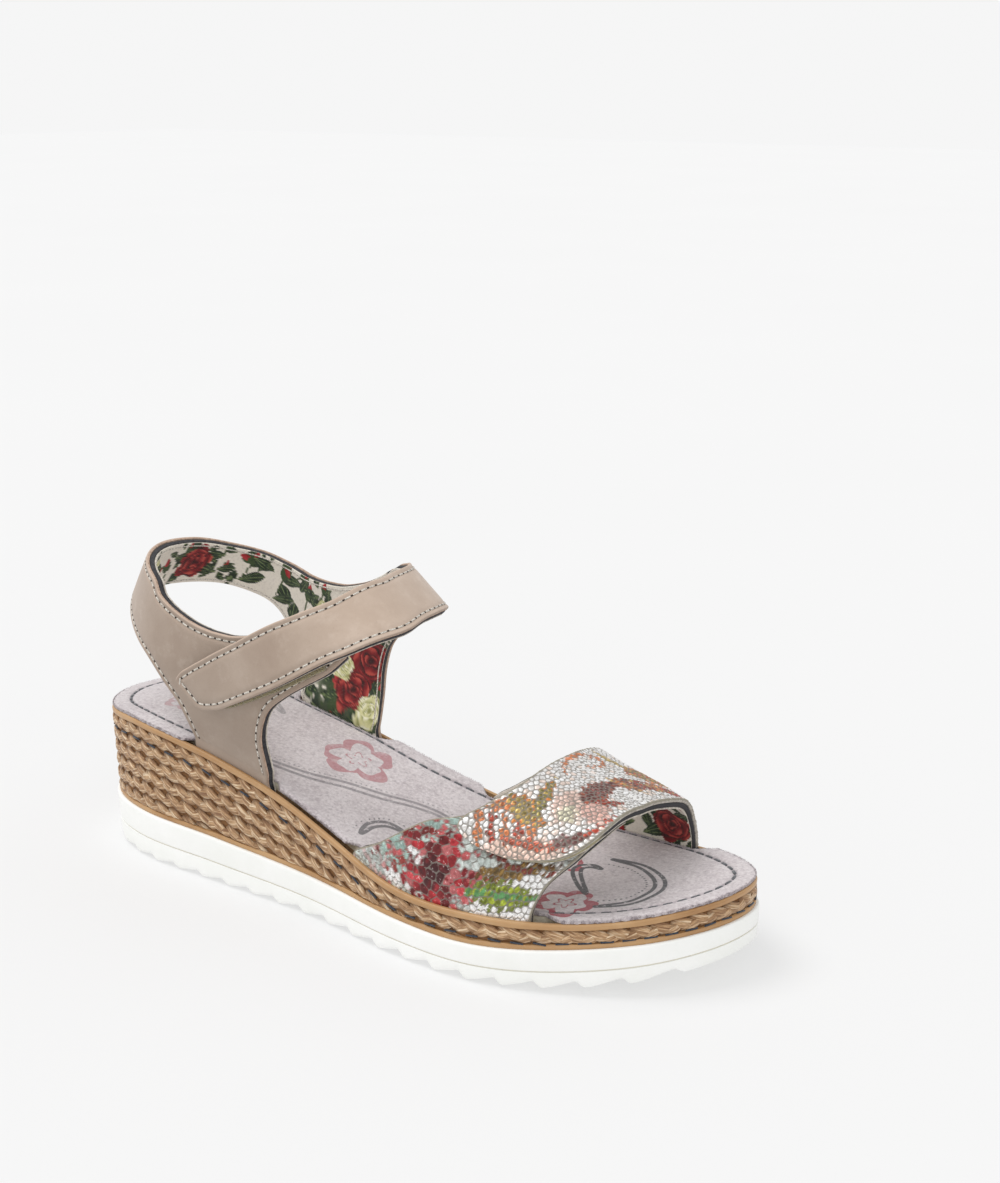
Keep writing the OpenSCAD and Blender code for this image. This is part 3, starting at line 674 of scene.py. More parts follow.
def felt_to_foam():
    """Felt at the strap's tip that turns into black foam away from it."""
    s = Shader("felt_to_foam", Roughness=0.9)
    f = s.noise(900, 4, 0.7)
    s.bump((f, 0.15))
    felt = s.ramp(f, (0.35, (132, 124, 94)), (0.65, (176, 168, 136)))
    return s.base(s.mix(s.field("tip"), (54, 53, 56), felt))


def metal(name):
    s = Shader(name, Metallic=1.0, Roughness=0.35)
    f = s.noise(1, 4, 0.6, s.scaled(s.coord, (80, 2500, 2500)))
    s.bump((f, 0.04))
    return s.base(s.ramp(f, (0.3, (150, 150, 152)), (0.7, (196, 197, 200))))


M_WHITE, M_TAN, M_CORE, M_JUTE = rubber_white(), tan_cover(), jute_core(), jute()
M_NAVY = thread("navy_thread", (58, 66, 80), (26, 31, 42))
M_LIGHT = thread("light_thread", (226, 220, 210), (150, 142, 132))
# dark needle holes: painted shade of the holes the thread goes through
M_HOLE_SHADE = raw_edge("needle_hole_shade", (66, 56, 50), (30, 26, 24))
M_GREY = thread("grey_thread", (108, 110, 114), (52, 54, 58))
M_SUEDE, M_NUBUCK, M_COTTON, M_MOSAIC = suede(), nubuck(), printed_cotton(), mosaic()
M_NUBUCK_EDGE = raw_edge("nubuck_edge", (206, 180, 160), (158, 132, 114))
M_MOSAIC_EDGE = raw_edge("mosaic_edge", (206, 200, 190), (150, 142, 132))
M_COTTON_EDGE = raw_edge("cotton_edge", (222, 214, 202), (160, 150, 138))
M_FOAM = raw_edge("black_foam", (70, 69, 72), (38, 38, 41))
M_FELT = felt_to_foam()
M_LOOP = pile("loop_tape", (150, 138, 104), (86, 78, 56))
M_HOOK = pile("hook_tape", (130, 122, 96), (70, 64, 48))
M_BOARD = raw_edge("fibre_board", (176, 150, 116), (128, 104, 76))
M_CREAM = raw_edge("cream_foam", (232, 226, 206), (200, 192, 170))
M_STEEL = metal("brushed_shank")
HIDDEN = {"shank": M_STEEL, "insole_board": M_BOARD, "footbed_foam": M_CREAM, "vamp_strap_margin": M_FOAM}
for node, m in HIDDEN.items():
    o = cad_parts[node]
    o.data.materials.clear()
    o.data.materials.append(m)


# ---------------------------------------------------------------- sole
def ring_solid(rings, columns=1, cap_shape=None):
    """Verts and faces through closed rings, capped at both ends by strips across the sole."""
    n = len(rings[0])
    verts = [np.vstack(rings)]
    i = np.arange(len(rings) - 1)[:, None] * n
    j = np.arange(n)[None, :]
    a, b = i + j, i + (j + 1) % n
    faces = [np.stack([a, b, b + n, a + n], -1).reshape(-1, 4)]
    total = len(rings) * n
    half = n // 2
    for first, cols in ((0, 1), ((len(rings) - 1) * n, columns)):
        ring = rings[0] if first == 0 else rings[-1]
        k = np.arange(1, half)
        lat, med = ring[k], ring[n - k]
        ids = np.empty((half - 1, cols + 1), int)
        ids[:, 0], ids[:, -1] = first + k, first + n - k
        if cols > 1:
            t = np.linspace(0, 1, cols + 1)[None, 1:-1, None]
            pts = mix(lat[:, None], med[:, None], t)
            if cap_shape is not None:
                pts = cap_shape(pts)
            ids[:, 1:-1] = total + np.arange((half - 1) * (cols - 1)).reshape(half - 1, cols - 1)
            verts.append(pts.reshape(-1, 3))
            total += pts.shape[0] * pts.shape[1]
        cap = np.stack([ids[:-1, :-1], ids[:-1, 1:], ids[1:, 1:], ids[1:, :-1]], -1).reshape(-1, 4)
        ends = np.vstack([np.stack([np.full(cols, first), ids[0, 1:], ids[0, :-1]], -1),
                          np.stack([np.full(cols, first + half), ids[-1, :-1], ids[-1, 1:]], -1)])
        if first:
            cap, ends = cap[:, ::-1], ends[:, ::-1]
        faces += [cap, ends]
    return np.vstack(verts), faces


def lug(x):
    """Height of the sole's edge over the ground: it rises towards the toe, then drops."""
    t = ((x - 6.3) / LUG_PITCH) % 1
    rise = np.clip(t / 0.7, 0, 1) ** 1.15 * (1 - smooth(0.7, 0.94, t))
    return mix(1.3, 2.1, smooth(40, 200, x)) * rise * smooth(2, 8, x) * (1 - smooth(232, 238, x))


GROOVE_SHARE = 0.45  # of the way from the ground to the joint
DENSE = outline(80)


def sole_ring(d, z):
    p = inset(DENSE, d)
    return leaned(p, z(p[:, 0]))


def groove_z(x):
    return mix(ground_z(x), joint_z(x), GROOVE_SHARE)


def edge_z(x):
    return ground_z(x) + lug(x)


def half_lug_z(x):
    return ground_z(x) + lug(x) * 0.5


def tread(pts):
    """Shallow zigzag grooves under the sole."""
    x, y = pts[..., 0], pts[..., 1]
    zig = np.abs((y / 14) % 1 - 0.5) * 14
    t = ((x + zig) / 9.5) % 1
    cut = smooth(0.60, 0.68, t) * (1 - smooth(0.92, 1.0, t))
    lateral = y < 0
    inside = smooth(9, 11, half_width(x, lateral) - np.abs(y))
    inside = inside * smooth(14, 20, x) * (1 - smooth(222, 228, x))
    pts = pts.copy()
    pts[..., 2] += 1.1 * cut * inside
    return pts


SOLE_PROFILE = [  # inset from the outline, height
    (2.0, joint_z), (0.5, joint_z), (-0.4, plus(joint_z, -0.02)), (-0.72, plus(joint_z, -0.18)),
    (-0.88, plus(joint_z, -0.5)), (-0.9, plus(joint_z, -1.1)), (-0.9, plus(groove_z, 0.6)),
    (-0.86, plus(groove_z, 0.32)), (-0.35, plus(groove_z, 0.14)), (-0.35, plus(groove_z, -0.10)),
    (-0.82, plus(groove_z, -0.28)), (-0.85, plus(groove_z, -0.5)), (-0.7, plus(edge_z, 1.6)),
    (-0.6, plus(edge_z, 0.7)), (-0.35, plus(edge_z, 0.22)), (0.15, edge_z), (3.4, edge_z),
    (3.9, half_lug_z), (4.2, ground_z)]
verts, faces = ring_solid([sole_ring(d, z) for d, z in SOLE_PROFILE], 34, tread)
seam = np.zeros(len(verts))
seam[8 * len(DENSE):10 * len(DENSE)] = 1  # the two rings at the bottom of the groove
build("outsole_moulding", verts, faces, M_WHITE, ROOT, ["outsole"], {"seam": seam},
      sharp=50)


def wobble(x, y, seed, period):
    """Gentle irregularity of hand-made edges, between -1 and 1."""
    u, v = x / period, y / period
    return np.sin(u * 6.28 + seed) * 0.6 + np.sin(v * 4.1 + u * 2.3 + seed * 2.7) * 0.4


WAVE_PERIOD = 19


def wall_ring(d, z, wave, seed):
    p = inset(FINE, d)
    return leaned(p, z(p[:, 0]) + wave * wobble(p[:, 0], p[:, 1], seed, WAVE_PERIOD))


def top_0(x):
    return braid_top(x, 0)


WALL_PROFILE = [  # inset from the outline, height, waviness
    (2.0, plus(joint_z, 0.05), 0), (0.15, plus(joint_z, 0.05), 0), (-0.02, plus(joint_z, 0.35), 0),
    (-0.05, plus(band_z, -0.6), 0.1), (0.05, plus(band_z, -0.25), 0.2), (0.3, plus(band_z, -0.04), 0.2),
    (0.7, band_z, 0.2), (RECESS, band_z, 0), (RECESS, top_0, 0), (0.6, top_0, 0.12),
    (0.2, plus(top_0, 0.05), 0.12), (0.02, plus(top_0, 0.4), 0.12), (-0.04, plus(top_0, 1.2), 0),
    (0, plus(rim_z, -0.8), 0), (0.08, plus(rim_z, -0.35), 0), (0.3, plus(rim_z, -0.07), 0),
    (0.65, rim_z, 0), (1.3, rim_z, 0), (EDGE_WALL, plus(rim_z, -0.15), 0),
    (EDGE_WALL, plus(rim_z, -POCKET), 0)]
verts, faces = ring_solid([wall_ring(*row, 1.7 * k) for k, row in enumerate(WALL_PROFILE)])
index = np.zeros(sum(len(f) for f in faces), int)
index[7 * len(FINE):8 * len(FINE)] = 1  # the core's wall behind the braids
build("wedge_cover", verts, faces, [M_TAN, M_CORE], ROOT, ["wedge_body"], index=index, sharp=45)


# ---------------------------------------------------------------- braids
def wall_frames(s, row_drop):
    """Points, heel-to-toe directions and outward directions along the closed wall."""
    closed = np.vstack([FINE, FINE[:1]])
    z = rim_z(closed[:, 0]) - row_drop
    line = np.column_stack([closed, z])
    walk = np.concatenate([[0], np.cumsum(np.linalg.norm(np.diff(line, axis=0), axis=1))])
    total = walk[-1]
    pos = lambda v: np.stack([np.interp(np.mod(v, total), walk, line[:, k]) for k in range(3)], -1)
    p = pos(s)
    tangent = unit(pos(s + 0.5) - pos(s - 0.5))
    out = unit(np.stack([tangent[..., 1], -tangent[..., 0], np.zeros_like(tangent[..., 0])], -1))
    return p, tangent, out, total


def wall_length(drop):
    return wall_frames(np.zeros(1), drop)[3]


def wall_x(s, drop):
    return wall_frames(np.array([s]), drop)[0][0, 0]


STRAND_RINGS, STRAND_SIDES = 11, 14
STRAND_SIZE = STRAND_RINGS * STRAND_SIDES
TURNS = np.linspace(0, 1, STRAND_RINGS)[:, None]
ROUND = np.linspace(0, 2 * math.pi, STRAND_SIDES, endpoint=False)[None, :]


def strand(centre, up, drop, jig):
    """One flat strand above (1) or below (-1) its row's middle line: points, fibre and painted shade."""
    t, phi = TURNS, ROUND
    taper = np.sin(math.pi * (t * 0.62 + 0.32)) ** 0.7
    reach = (4.6 if up > 0 else 3.9) + 0.3 * jig[1]
    along = mix(-reach, reach * 0.8, t)
    height = up * mix(2.05 + 0.1 * jig[2], -0.8 if up > 0 else -0.35, t ** 0.85)
    height = height + 0.15 * jig[3] * np.sin(math.pi * t)
    depth = mix(0.95, 0.40, smooth(0, 0.5, t)) + 0.5 * smooth(0.72, 1, t)
    wide, thick = (1.85 + 0.12 * jig[4]) * taper, 0.66 * taper
    slope = np.arctan2(np.gradient(height[:, 0]), np.gradient(along[:, 0]))[:, None]
    lump = 1 + 0.07 * np.cos(4 * phi + t * 6 + jig[5]) + 0.05 * np.cos(7 * phi - t * 4)
    w = wide * np.cos(phi) * lump
    flat = np.sign(np.sin(phi)) * np.abs(np.sin(phi)) ** 0.7
    forward = along - w * np.sin(slope)
    rise = height + w * np.cos(slope)
    inwards = depth - thick * flat * lump + 0.6 * np.clip(np.abs(rise) / 2.4, 0, 1.2) ** 2.5
    p, _, out, _ = wall_frames(centre + forward.ravel(), drop)
    z, d, low = p[:, 2] + rise.ravel(), inwards.ravel(), band_z(p[:, 0])
    d = mix(d, np.maximum(d, 1.25), np.clip((low + 0.3 - z) / 0.7, 0, 1))
    verts = leaned(p[:, :2] - out[:, :2] * d[:, None], np.maximum(z, low - 0.6))
    fibre = np.column_stack([(along + 0 * phi).ravel(), (w * 1.3).ravel(), np.zeros(STRAND_SIZE)])
    # painted shade: darker where the strand's ends dive under its neighbours, along its sides and in the
    # crease between rows
    shade = 0.5 * (1 - smooth(0.0, 0.30, t)) + 0.30 * smooth(0.84, 1.0, t)
    edge = np.clip(np.abs(w / 1.9) * 1.4 - 0.85, 0, 0.5)
    crease = 0.55 * smooth(1.5, 2.6, np.abs(rise))
    return verts, fibre, np.clip(shade + edge + crease + 0.07 * jig[5], 0, 0.92).ravel()


def plait(rows):
    """Rows of herringbone plait: overlapping flat strands that slant to a middle line."""
    verts, fibre, strand_shade = [], [], []
    for row in rows:
        drop = RIM_H + (row + 0.5) * BRAID_H
        s = start = rng.uniform(0, 6)
        end = start + wall_length(drop) - 3
        while s < end:
            x = wall_x(s, drop)
            pitch = mix(7.2, 6.2, x / 243)
            for up in (1, -1):
                if row and braid_top(x, row) - band_z(x) < 0.9:
                    continue
                jig = rng.normal(0, 1, 6)
                centre = s + (0 if up > 0 else 0.45 * pitch) + 0.15 * jig[0]
                points, lanes, shade = strand(centre, up, drop, jig)
                verts.append(points)
                fibre.append(lanes + rng.uniform(0, 50))
                strand_shade.append(shade)
            s += pitch
    k = np.arange(1, STRAND_SIDES - 1)
    ends = np.vstack([np.stack([0 * k, k + 1, k], -1),
                      np.stack([0 * k, k, k + 1], -1) + STRAND_SIZE - STRAND_SIDES])
    faces = [repeated(f, len(verts), STRAND_SIZE) for f in (tube_quads(STRAND_RINGS, STRAND_SIDES), ends)]
    return np.vstack(verts), faces, {"fibre": np.vstack(fibre), "strand_shade": np.concatenate(strand_shade)}


for name, rows, node in (("top_braid_plait", [0], "top_braid"),
                         ("wall_braid_plaits", [1, 2, 3, 4, 5], "wall_braids")):
    verts, faces, fields = plait(rows)
    build(name, verts, faces, M_JUTE, ROOT, [node], fields)

# Navy dashes under the top braid
DASH_DROP = RIM_H + BRAID_H
s, stops = 2.0, []
while s < wall_length(DASH_DROP) - 3:
    stops.append(s)
    s += mix(8.8, 6.3, smooth(100, 235, wall_x(s, DASH_DROP)))
p, tan, out, _ = wall_frames(np.array(stops), DASH_DROP)
p[:, 2] = np.maximum(p[:, 2] + 0.15, band_z(p[:, 0]) + 0.2)
xy = p[:, :2] - out[:, :2] * 0.22
tilt = unit(tan + np.array([0, 0, 0.10]) * rng.normal(-0.6, 1, (len(p), 1)))
verts, faces = capsules(leaned(xy, p[:, 2]), tilt, out, 4.0, 0.6, 0.6)
build("wall_stitch_dashes", verts, faces, M_NAVY, ROOT, ["wall_stitches"])


# ---------------------------------------------------------------- insole sock
SLOTS = [(59, 94, True), (59, 94, False), (128, 201, True), (134.5, 213, False)]  # from x, to x, lateral
SOCK_INSET, SLOT_STEP, WAIST_STEP = 0.3, 5.15, 2.6


def sock_edge(points):
    """How far the sock's edge lies inside the outline: it steps in where an upper goes down."""
    lateral = np.arange(len(points)) < len(points) // 2
    x = points[:, 0]
    slot = np.zeros(len(points))
    for x0, x1, side in SLOTS:
        along = smooth(x0 - 5, x0 + 1, x) * (1 - smooth(x1 - 1.5, x1 + 6, x))
        slot = np.maximum(slot, along * (lateral == side))
    waist = lateral * smooth(88, 94, x) * (1 - smooth(128, 136, x))
    return np.maximum(SOCK_INSET + slot * SLOT_STEP, WAIST_STEP * waist), waist


def poly_distance(points, line):
    """Distance to a polyline and the share of its length at the closest place."""
    best, share = np.full(len(points), 1e9), np.zeros(len(points))
    n = len(line) - 1
    for k in range(n):
        a, b = line[k], line[k + 1]
        t = np.clip(((points - a) @ (b - a)) / ((b - a) @ (b - a)), 0, 1)
        d = np.linalg.norm(points - a - t[:, None] * (b - a), axis=1)
        near = d < best
        best = np.where(near, d, best)
        share = np.where(near, (k + t) / n, share)
    return best, share


def ribbon(points, stations, width, line=0.68):
    """Inked double outline of a ribbon that tapers at both ends."""
    curve = through(stations, 8)
    d, t = poly_distance(points, curve)
    w = width * np.sin(math.pi * np.clip(t, 0.02, 0.98)) ** 0.45
    return line - np.abs(d - w)


def dots(points, stations, shift, pitch=1.7, size=0.42):
    """Row of dots beside a curve."""
    curve = through(stations, 10)
    normal = unit(np.gradient(curve, axis=0))
    curve = curve + shift * np.stack([-normal[:, 1], normal[:, 0]], -1)
    p, _, _ = resample(np.column_stack([curve, 0 * curve[:, 0]]), pitch)
    d = np.min([np.linalg.norm(points - c, axis=1) for c in p[:, :2]], axis=0)
    return size - d


def blossom(points, centre, radius, turn):
    """Brushed outline of a five-petalled flower, with a small star in its middle."""
    v = points - np.array(centre)
    r, a = np.linalg.norm(v, axis=1), np.arctan2(v[:, 1], v[:, 0]) + turn
    petal = radius * (0.52 + 0.30 * np.abs(np.cos(2.5 * a)) ** 0.6) * (1 + 0.06 * np.sin(3 * a + 1))
    stroke = 0.125 * radius * (1 + 0.4 * np.sin(4 * a + 2) + 0.3 * np.sin(9 * a))
    notch = radius * 0.24 * (1 + 0.35 * np.cos(5 * a))
    return np.maximum(stroke - np.abs(r - petal), 0.45 - np.abs(r - notch) * 1.1)


SWIRLS = [  # stations, half width, dots' shift, faded
    ([[201, -12], [195, -6], [190, 0], [188.5, 4], [191, 7], [194.5, 6.5]], 1.25, 0, 0.0),
    ([[194, 15], [204, 14.5], [213, 9], [218.2, 2], [219, -5], [216.5, -13], [209, -19]], 1.5, -4.0, 0.0),
    ([[66, -23], [78, -22], [95, -17], [107, -9], [118, -3], [126, 2], [134, 5], [142, 5]], 1.5, 3.4, 0.42),
    ([[126.5, -26], [125.5, -20], [128, -15], [133, -13.5]], 1.2, 3.0, 0.2),
    ([[30, 10], [40, 15], [52, 15], [63, 10]], 1.3, -3.2, 0.5)]
BLOSSOMS = [((99, 6.5), 13, 0.3, 0.34), ((199.5, -21), 10.5, 1.1, 0.0), ((183.2, 3.5), 7, 0.2, 0.0),
            ((35, -8), 8, 0.8, 0.55), ((150, 20), 9, 0.5, 0.3)]


NO_INK, NEAR_INK = -9.0, -1.2


def sock_prints(xy):
    """Printed fields at points of the sock, over 0 where there is ink."""
    ink = np.full(len(xy), NO_INK)
    red = np.full(len(xy), NO_INK)
    faded = np.zeros(len(xy))
    for stations, width, shift, fade in SWIRLS:
        value = ribbon(xy, stations, width)
        if shift:
            value = np.maximum(value, dots(xy, stations, shift))
        faded = np.where(value > NEAR_INK, fade, faded)
        ink = np.maximum(ink, value)
    for centre, radius, turn, fade in BLOSSOMS:
        value = blossom(xy, centre, radius, turn)
        faded = np.where((value > NEAR_INK) & (ink < -0.5), fade, faded)
        red = np.maximum(red, value)
    return {"ink": ink, "red": red, "faded": faded}


sock_outline = outline(60)
start, waist = sock_edge(sock_outline)
STITCH_INSET, SOCK_TOP = 6.6, 1.16
SOCK_PROFILE = [  # inset from the sock's edge, height over the rim
    (0.5, 0.1), (0.1, 0.15), (0, 0.4), (0.06, 0.75), (0.25, 1.0), (0.6, 1.16), (1.3, 1.26), (2.6, 1.32),
    (4.4, 1.30), (5.3, 1.2), (5.7, 0.95), (6.1, 0.62), (6.5, 0.6), (6.9, 0.86), (7.4, 1.08), (8.4, 1.16)]
rings, edges, grooves = [], [], []
for k, (d, h) in enumerate(SOCK_PROFILE):
    away = np.maximum(d + SOCK_INSET, start + min(d, 0.9) + 0.04 * k)
    p = inset(sock_outline, away)
    fray = 0.14 * wobble(p[:, 0], p[:, 1], k, 3.1) + 0.12 * wobble(p[:, 0], p[:, 1], 2 * k, 1.3)
    sunk = SOCK_TOP - h if 5 < d < 8 else 0  # fills the groove where the waist has none
    rings.append(leaned(p, rim_z(p[:, 0]) + h + fray * (d < 1) + sunk * waist))
    edges.append(away - start)
    # groove weights where the sock gets painted shade along its stitch groove, none at the waist
    grooves.append(np.exp(-((away - STITCH_INSET) / 0.75) ** 2) * (1 - waist))
verts, faces = ring_solid(rings, 96)
n = len(sock_outline)
edge = np.full(len(verts), 9.0)
groove = np.zeros(len(verts))
edge[:len(rings) * n] = np.concatenate(edges)
groove[:len(rings) * n] = np.concatenate(grooves)
fields = sock_prints(verts[:, :2])
fields.update(edge=edge, groove=groove)
build("suede_insole_sock", verts, faces, M_SUEDE, ROOT, ["insole_sock"], fields)

# Loose fibres along the sock's raw edge
FIBRES, FIBRE_RINGS, FIBRE_SIDES = 9000, 3, 4
pick = rng.integers(0, n, FIBRES)
root = inset(sock_outline, start + 0.05)[pick]
outward = root - inset(sock_outline, start + 1.05)[pick]
spread = np.column_stack([outward, np.zeros(FIBRES)]) + rng.normal(0, 0.55, (FIBRES, 3)) + [0, 0, 0.35]
height = rim_z(root[:, 0]) + rng.uniform(0.35, 1.15, FIBRES)
spread = unit(spread)
centre = leaned(root, height) - spread * 0.1
upright = unit(np.cross(spread, [0.31, 0.17, 0.94]))
verts, faces = capsules(centre, spread, upright, 0.62, 0.11, 0.11, FIBRE_RINGS, FIBRE_SIDES)
plain = np.full(len(verts), NO_INK)
edge = np.repeat(rng.uniform(-0.6, 3.2, FIBRES), FIBRE_RINGS * FIBRE_SIDES)
fields = {"edge": edge, "ink": plain, "red": plain}
build("sock_raw_edge_fibres", verts, faces, M_SUEDE, ROOT, (), fields)

# Stitches in the sock's groove; the waist has none, so its part of the line lies too low to keep
p = inset(sock_outline, STITCH_INSET)
line = leaned(p, rim_z(p[:, 0]) + 0.72 - 3 * waist)
mid, tangent, _ = resample(np.vstack([line, line[:1]]), 4.6)
keep = mid[:, 2] > rim_z(mid[:, 0]) + 0.4
up = np.tile([0.0, 0.0, 1.0], (len(mid), 1))
verts, faces = capsules(mid[keep], tangent[keep], up[keep], 3.1, 1.3, 0.8)
build("sock_stitch_line", verts, faces, M_GREY, ROOT, ["sock_stitches"])


# ---------------------------------------------------------------- paints
TABLE_WIDE, TABLE_HIGH, ROW_STEP = 97, 89, 0.866


class Cells:
    """Jittered hexagonal cells: the closest cell of each point and the distance to its border."""

    def __init__(self, size, seed, jitter=0.30):
        self.size, self.jitter = size, jitter
        self.table = np.random.default_rng(seed).random((TABLE_WIDE, TABLE_HIGH, 3))

    def find(self, p):
        p = p / self.size
        rows = np.round(p[:, 1] / ROW_STEP).astype(int)
        best = np.full((len(p), 2), 1e9)
        centre, rand = np.zeros((len(p), 2)), np.zeros(len(p))
        for dr in (-2, -1, 0, 1, 2):
            r = rows + dr
            cols = np.round(p[:, 0] - 0.5 * (r % 2)).astype(int)
            for dc in (-2, -1, 0, 1, 2):
                c = cols + dc
                h = self.table[c % TABLE_WIDE, r % TABLE_HIGH]
                x = c + 0.5 * (r % 2) + (h[:, 0] - 0.5) * 2 * self.jitter
                y = r * ROW_STEP + (h[:, 1] - 0.5) * 2 * self.jitter
                d = np.hypot(p[:, 0] - x, p[:, 1] - y)
                closer = d < best[:, 0]
                best[:, 1] = np.where(closer, best[:, 0], np.minimum(best[:, 1], d))
                best[:, 0] = np.where(closer, d, best[:, 0])
                centre[closer] = np.stack([x, y], -1)[closer]
                rand = np.where(closer, h[:, 2], rand)
        return centre * self.size, (best[:, 1] - best[:, 0]) * 0.5 * self.size, rand


def turned(p, centre, size, turn):
    """Coordinates along and across a mark of that size and turn, 1 at its ends."""
    v = p - np.array(centre)
    c, s = math.cos(turn), math.sin(turn)
    return (v[:, 0] * c + v[:, 1] * s) / size[0], (-v[:, 0] * s + v[:, 1] * c) / size[1]


def blob(p, centre, size, turn=0.0):
    """Value over 0 inside a turned oval: 1 in its middle."""
    u, w = turned(p, centre, size, turn)
    return 1 - np.hypot(u, w)


def leaf(p, centre, length, width, turn):
    """Value over 0 inside a pointed leaf, and the coordinates along and across it."""
    u, w = turned(p, centre, (length, width), turn)
    return np.where(np.abs(u) < 1, (1 - u * u) * (1 - 0.35 * u) - np.abs(w), -1), u, w


def polar(p, centre, turn=0.0):
    v = p - np.array(centre)
    return np.hypot(v[:, 0], v[:, 1]), np.arctan2(v[:, 1], v[:, 0]) + turn


WHITE, SILVER = np.array([252, 251, 249.]), np.array([206, 207, 204.])


def tint(base, mask, rgb, amount=1.0):
    m = np.clip(mask, 0, 1)[:, None] * amount
    return base * (1 - m) + np.array(rgb, float) * m


def filled(base, inside, rgb):
    """base, with the points inside set to rgb, one colour or one per point."""
    return np.where(inside[:, None], np.array(rgb, float), base)


def walked(points):
    """Length walked at each point of a line."""
    return np.concatenate([[0], np.cumsum(np.linalg.norm(np.diff(points, axis=0), axis=1))])


def girth(a):
    """Girth along the form at the vamp, in mm, from angle a."""
    table = np.linspace(-96, 96, 193)
    s = walked(form_at_angle(np.full(193, 190.0), table))
    return np.interp(a, table, s - s[96])


def spot(x, a):
    return np.array([x, float(girth(a))])


LOW_X, LOW_A = np.linspace(120, 216, 49), np.linspace(-96, 0, 97)
LOW = np.array([walked(form_at_angle(np.full(97, x), LOW_A)) for x in LOW_X])
LOW = LOW - LOW[:, 6:7] + girth(-90)  # column 6 is the sole's edge, at -90 degrees


def low_girth(x, a):
    """Girth measured up from the sole's edge, so that cells keep their shape beside it. LOW's rows
    lie 2 mm apart and its columns 1 degree."""
    i = np.clip((np.asarray(x, float) - 120) / 2, 0, 47.999)
    j = np.clip(np.asarray(a, float) + 96, 0, 95.999)
    i0, j0 = i.astype(int), j.astype(int)
    u, v = i - i0, j - j0
    return (LOW[i0, j0] * (1 - u) * (1 - v) + LOW[i0 + 1, j0] * u * (1 - v)
            + LOW[i0, j0 + 1] * (1 - u) * v + LOW[i0 + 1, j0 + 1] * u * v)


def low_spot(x, a):
    return np.array([x, float(low_girth(x, a))])


class Print:
    """A picture painted mark by mark at points; place turns x and an angle into their plane."""

    def __init__(self, points, ground, place):
        self.points, self.place = points, place
        self.col = np.tile(ground, (len(points), 1))

    def wash(self, mask, rgb, amount=1.0):
        self.col = tint(self.col, mask, rgb, amount)

    def dab(self, x, a, size, rgb, amount=1.0, turn=0.0, edge=(0, 0.3)):
        self.wash(smooth(*edge, blob(self.points, self.place(x, a), size, turn)), rgb, amount)

    def leaf(self, x, a, length, width, turn, rgb, vein=None, rim=None):
        """Brushed leaf with a darker rim and a midrib."""
        inside, u, w = leaf(self.points, self.place(x, a), length, width, turn)
        streak = 0.86 + 0.16 * np.sin(11 * w + 5 * u) + 0.10 * np.sin(23 * w - 9 * u)
        self.col = filled(self.col, inside > 0, np.clip(np.array(rgb, float) * streak[:, None], 0, 255))
        if rim is not None:
            self.col = filled(self.col, (inside > 0) & (inside < 0.2), rim)
        if vein is not None:
            self.col = filled(self.col, (inside > 0) & (np.abs(w) < 0.10), vein)

    def stroke(self, width, rgb, *stations):
        d, t = poly_distance(self.points, through([self.place(*at_place) for at_place in stations], 6))
        w = width * np.sin(math.pi * np.clip(t, 0.03, 0.97)) ** 0.6
        self.col = filled(self.col, d < w, rgb)


ORANGE, RUST, GOLD, OLIVE = (216, 132, 84), (190, 78, 56), (196, 168, 96), (158, 146, 82)
COPPER, MAUVE = (206, 128, 64), (156, 88, 70)


